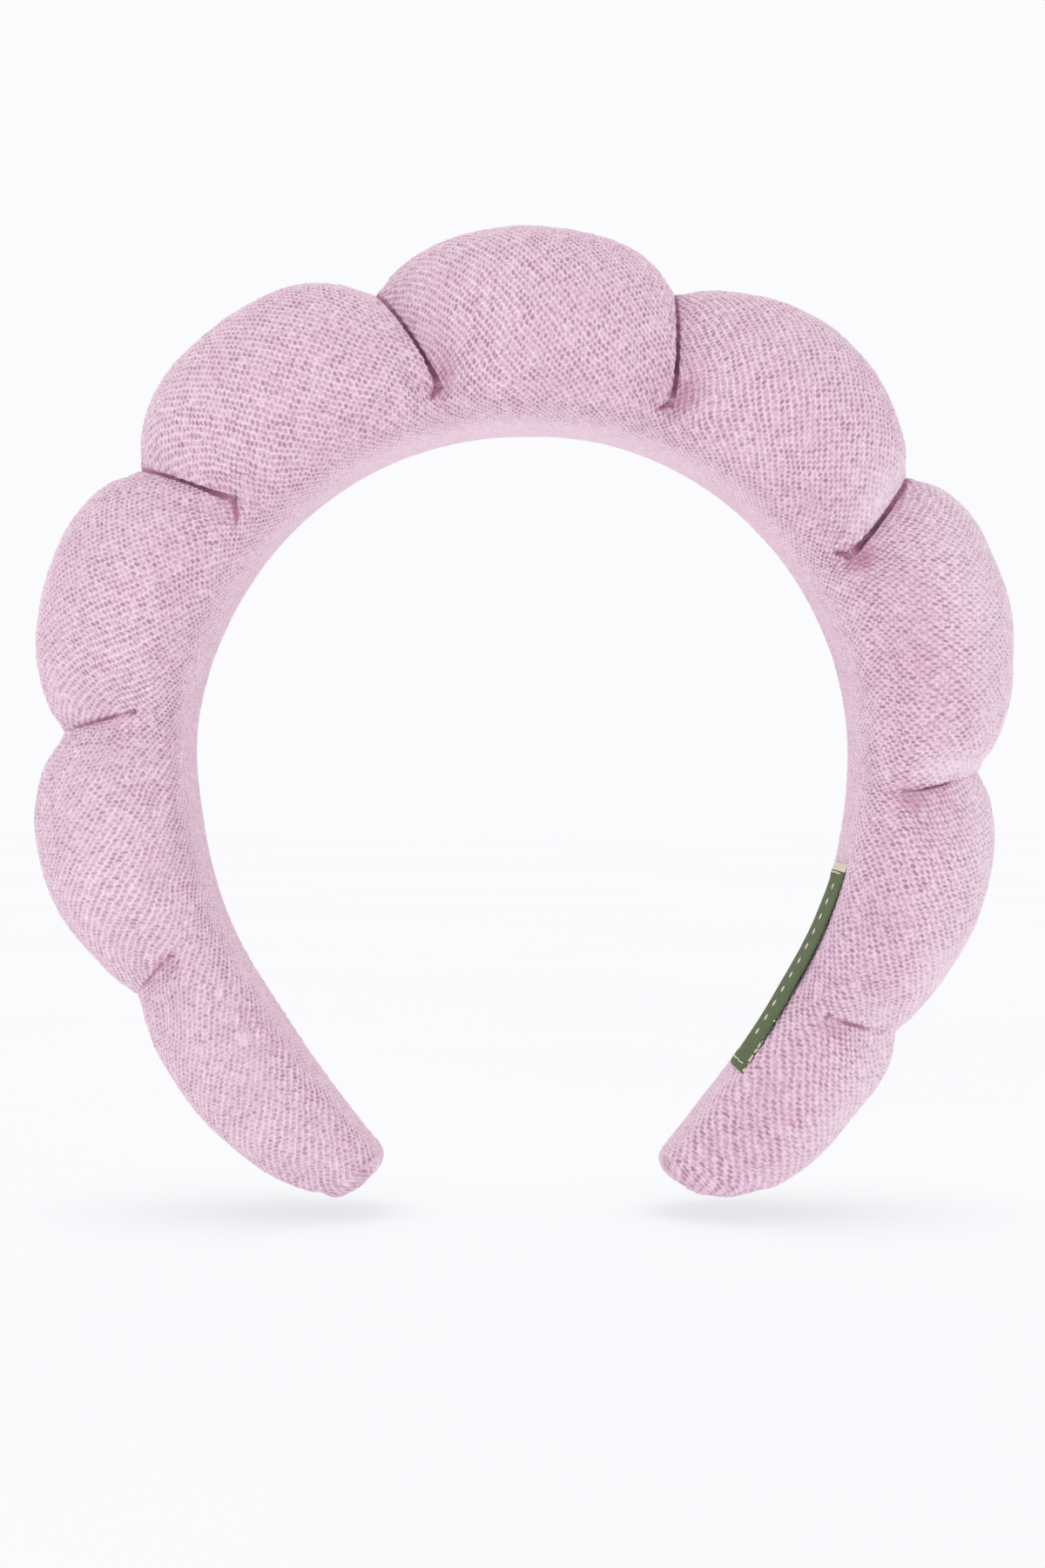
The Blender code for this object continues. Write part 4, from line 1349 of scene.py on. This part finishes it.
def sponge(i):
    """Sponge of lobe i, with a slot for the core band through it."""
    body = LOBES[i].name
    phi = TAU * np.arange(SPONGE_POINTS) / SPONGE_POINTS
    start = crease_at(i, phi) + (TIP_GAP if i == 0 else CREASE_GAP)
    stop = crease_at(i + 1, phi) - (TIP_GAP if i == 8 else CREASE_GAP)
    part = np.linspace(0, 1, SPONGE_STEPS + 1)
    hoop = start[None] + (stop - start)[None] * part[:, None]
    outer = surface_at(hoop, phi[None])
    normals = grid_normals(outer)
    outer = outer - normals * (2.7 + 1.2 * (1 - np.sin(np.pi * part)) ** 3)[:, None, None]
    x, y, z = np.moveaxis(outer / 4, -1, 0)
    outer += normals * (0.30 * noise(x, y, z))[..., None]
    half = from_table(np.abs(hoop), CORE_HALF_WIDTH) + CORE_PLAY
    rise, aside = -np.cos(phi)[None], np.sin(phi)[None]
    reach = np.minimum(half / (np.abs(aside) + 1e-9), SLOT_HALF / (np.abs(rise) + 1e-9))
    channel = place(hoop, reach * aside, SLOT_MIDDLE + reach * rise)
    index = np.arange(hoop.size).reshape(hoop.shape)
    walls = quad_corners(index)
    faces = [walls.reshape(-1, 4), walls[..., [0, 3, 2, 1]].reshape(-1, 4) + index.size]
    first, last = index[0], index[-1]
    after_first, after_last = np.roll(first, -1), np.roll(last, -1)
    faces.append(np.stack([first, first + index.size, after_first + index.size, after_first], -1))
    faces.append(np.stack([last, after_last, after_last + index.size, last + index.size], -1))
    points = np.concatenate([outer.reshape(-1, 3), channel.reshape(-1, 3)])
    foam = plain_object("sponge_" + body, points, np.concatenate(faces).tolist())
    foam.data.materials.append(SPONGE)
    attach(foam, body)
    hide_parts("foam_" + body)


for i, lobe in enumerate(LOBES):
    sponge(i)
    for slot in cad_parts["core_" + lobe.name].material_slots:
        slot.material = PLASTIC

# ------------------------------------------------------------------ stage, light, camera
BACKDROP = (0.962, 0.966, 0.978)
FLOOR_HALF = 4.0                 # metres
FLOOR_DROP = 0.0005              # metres under the tips


def camera_switch(graph, unseen, seen):
    """One shader for the light in the scene, another for what the camera sees."""
    ray = graph.node("LightPath", output="Is Camera Ray")
    return graph.node("MixShader", {0: ray, 1: unseen, 2: seen})


def floor_material():
    """To the camera the floor runs into the backdrop, with a soft contact shadow."""
    graph = new_material("floor_pale")
    near = graph.node("AmbientOcclusion", {"Distance": 0.045}, output="AO", samples=8)
    grain = graph.noise(graph.coord(), 3.0, detail=3.0)
    pale = graph.mix(grain.ramp(0.35, 0.75), BACKDROP, (0.950, 0.955, 0.968))
    shade = graph.mix(near.ramp(0.35, 1.0), (0.80, 0.80, 0.825), pale)
    matt = graph.node("BsdfPrincipled", {"Base Color": (0.90, 0.905, 0.915, 1), "Roughness": 0.9})
    bounce = graph.node("Emission", {"Color": (1.0, 0.98, 0.99, 1), "Strength": 0.24})
    lit = graph.node("AddShader", {0: matt, 1: bounce})
    return graph.output(camera_switch(graph, lit, graph.node("Emission", {"Color": shade})))


def build_floor():
    mesh = bpy.data.meshes.new("floor")
    corners = [(x * FLOOR_HALF, y * FLOOR_HALF, 0) for x, y in ((-1, -1), (1, -1), (1, 1), (-1, 1))]
    mesh.from_pydata(corners, [], [(0, 1, 2, 3)])
    floor = bpy.data.objects.new("floor", mesh)
    scene.collection.objects.link(floor)
    floor.location.z = CAD_LO[2] - FLOOR_DROP
    mesh.materials.append(floor_material())


def build_world():
    scene.world = bpy.data.worlds.new("studio")
    graph = Graph(scene.world)
    soft = graph.node("Background", {"Color": (1.0, 0.985, 0.99, 1), "Strength": 0.95})
    seen = graph.node("Background", {"Color": (*BACKDROP, 1), "Strength": 1.0})
    graph.output(camera_switch(graph, soft, seen), "ShaderNodeOutputWorld")


def area_light(name, location, target, size, energy):
    data = bpy.data.lights.new(name, "AREA")
    data.shape = "DISK"
    data.size = size
    data.energy = energy
    light = bpy.data.objects.new(name, data)
    scene.collection.objects.link(light)
    light.location = location
    light.rotation_mode = "QUATERNION"
    aim = Vector(target) - Vector(location)
    light.rotation_quaternion = aim.to_track_quat("-Z", "Y")


def build_camera():
    """Level camera on the -Y side, looking along +Y."""
    distance, view_width = 520.0, 290.7    # view_width: what the picture spans at the hoop
    below_guide = 65.2                     # under the guide line's top
    data = bpy.data.cameras.new("camera")
    data.sensor_width = 36.0
    data.lens = data.sensor_width * distance / view_width
    camera = bpy.data.objects.new("camera", data)
    scene.collection.objects.link(camera)
    camera.location = (0.0, -distance * MM, -(below_guide + PAD_Z) * MM)
    camera.rotation_euler = (math.radians(90), 0, 0)
    scene.camera = camera


build_floor()
build_world()
CENTRE = (0, 0, -0.058)
area_light("key", (-0.75, -1.05, 0.75), CENTRE, size=0.9, energy=3.2)
area_light("fill", (0.9, -0.9, 0.35), CENTRE, size=1.0, energy=1.2)
area_light("back", (0.2, 1.2, 0.8), CENTRE, size=0.9, energy=2.0)
area_light("low", (-0.40, -0.95, -0.30), (-0.03, 0, -0.12), size=0.6, energy=0.95)
build_camera()
scene.view_settings.view_transform = "Standard"
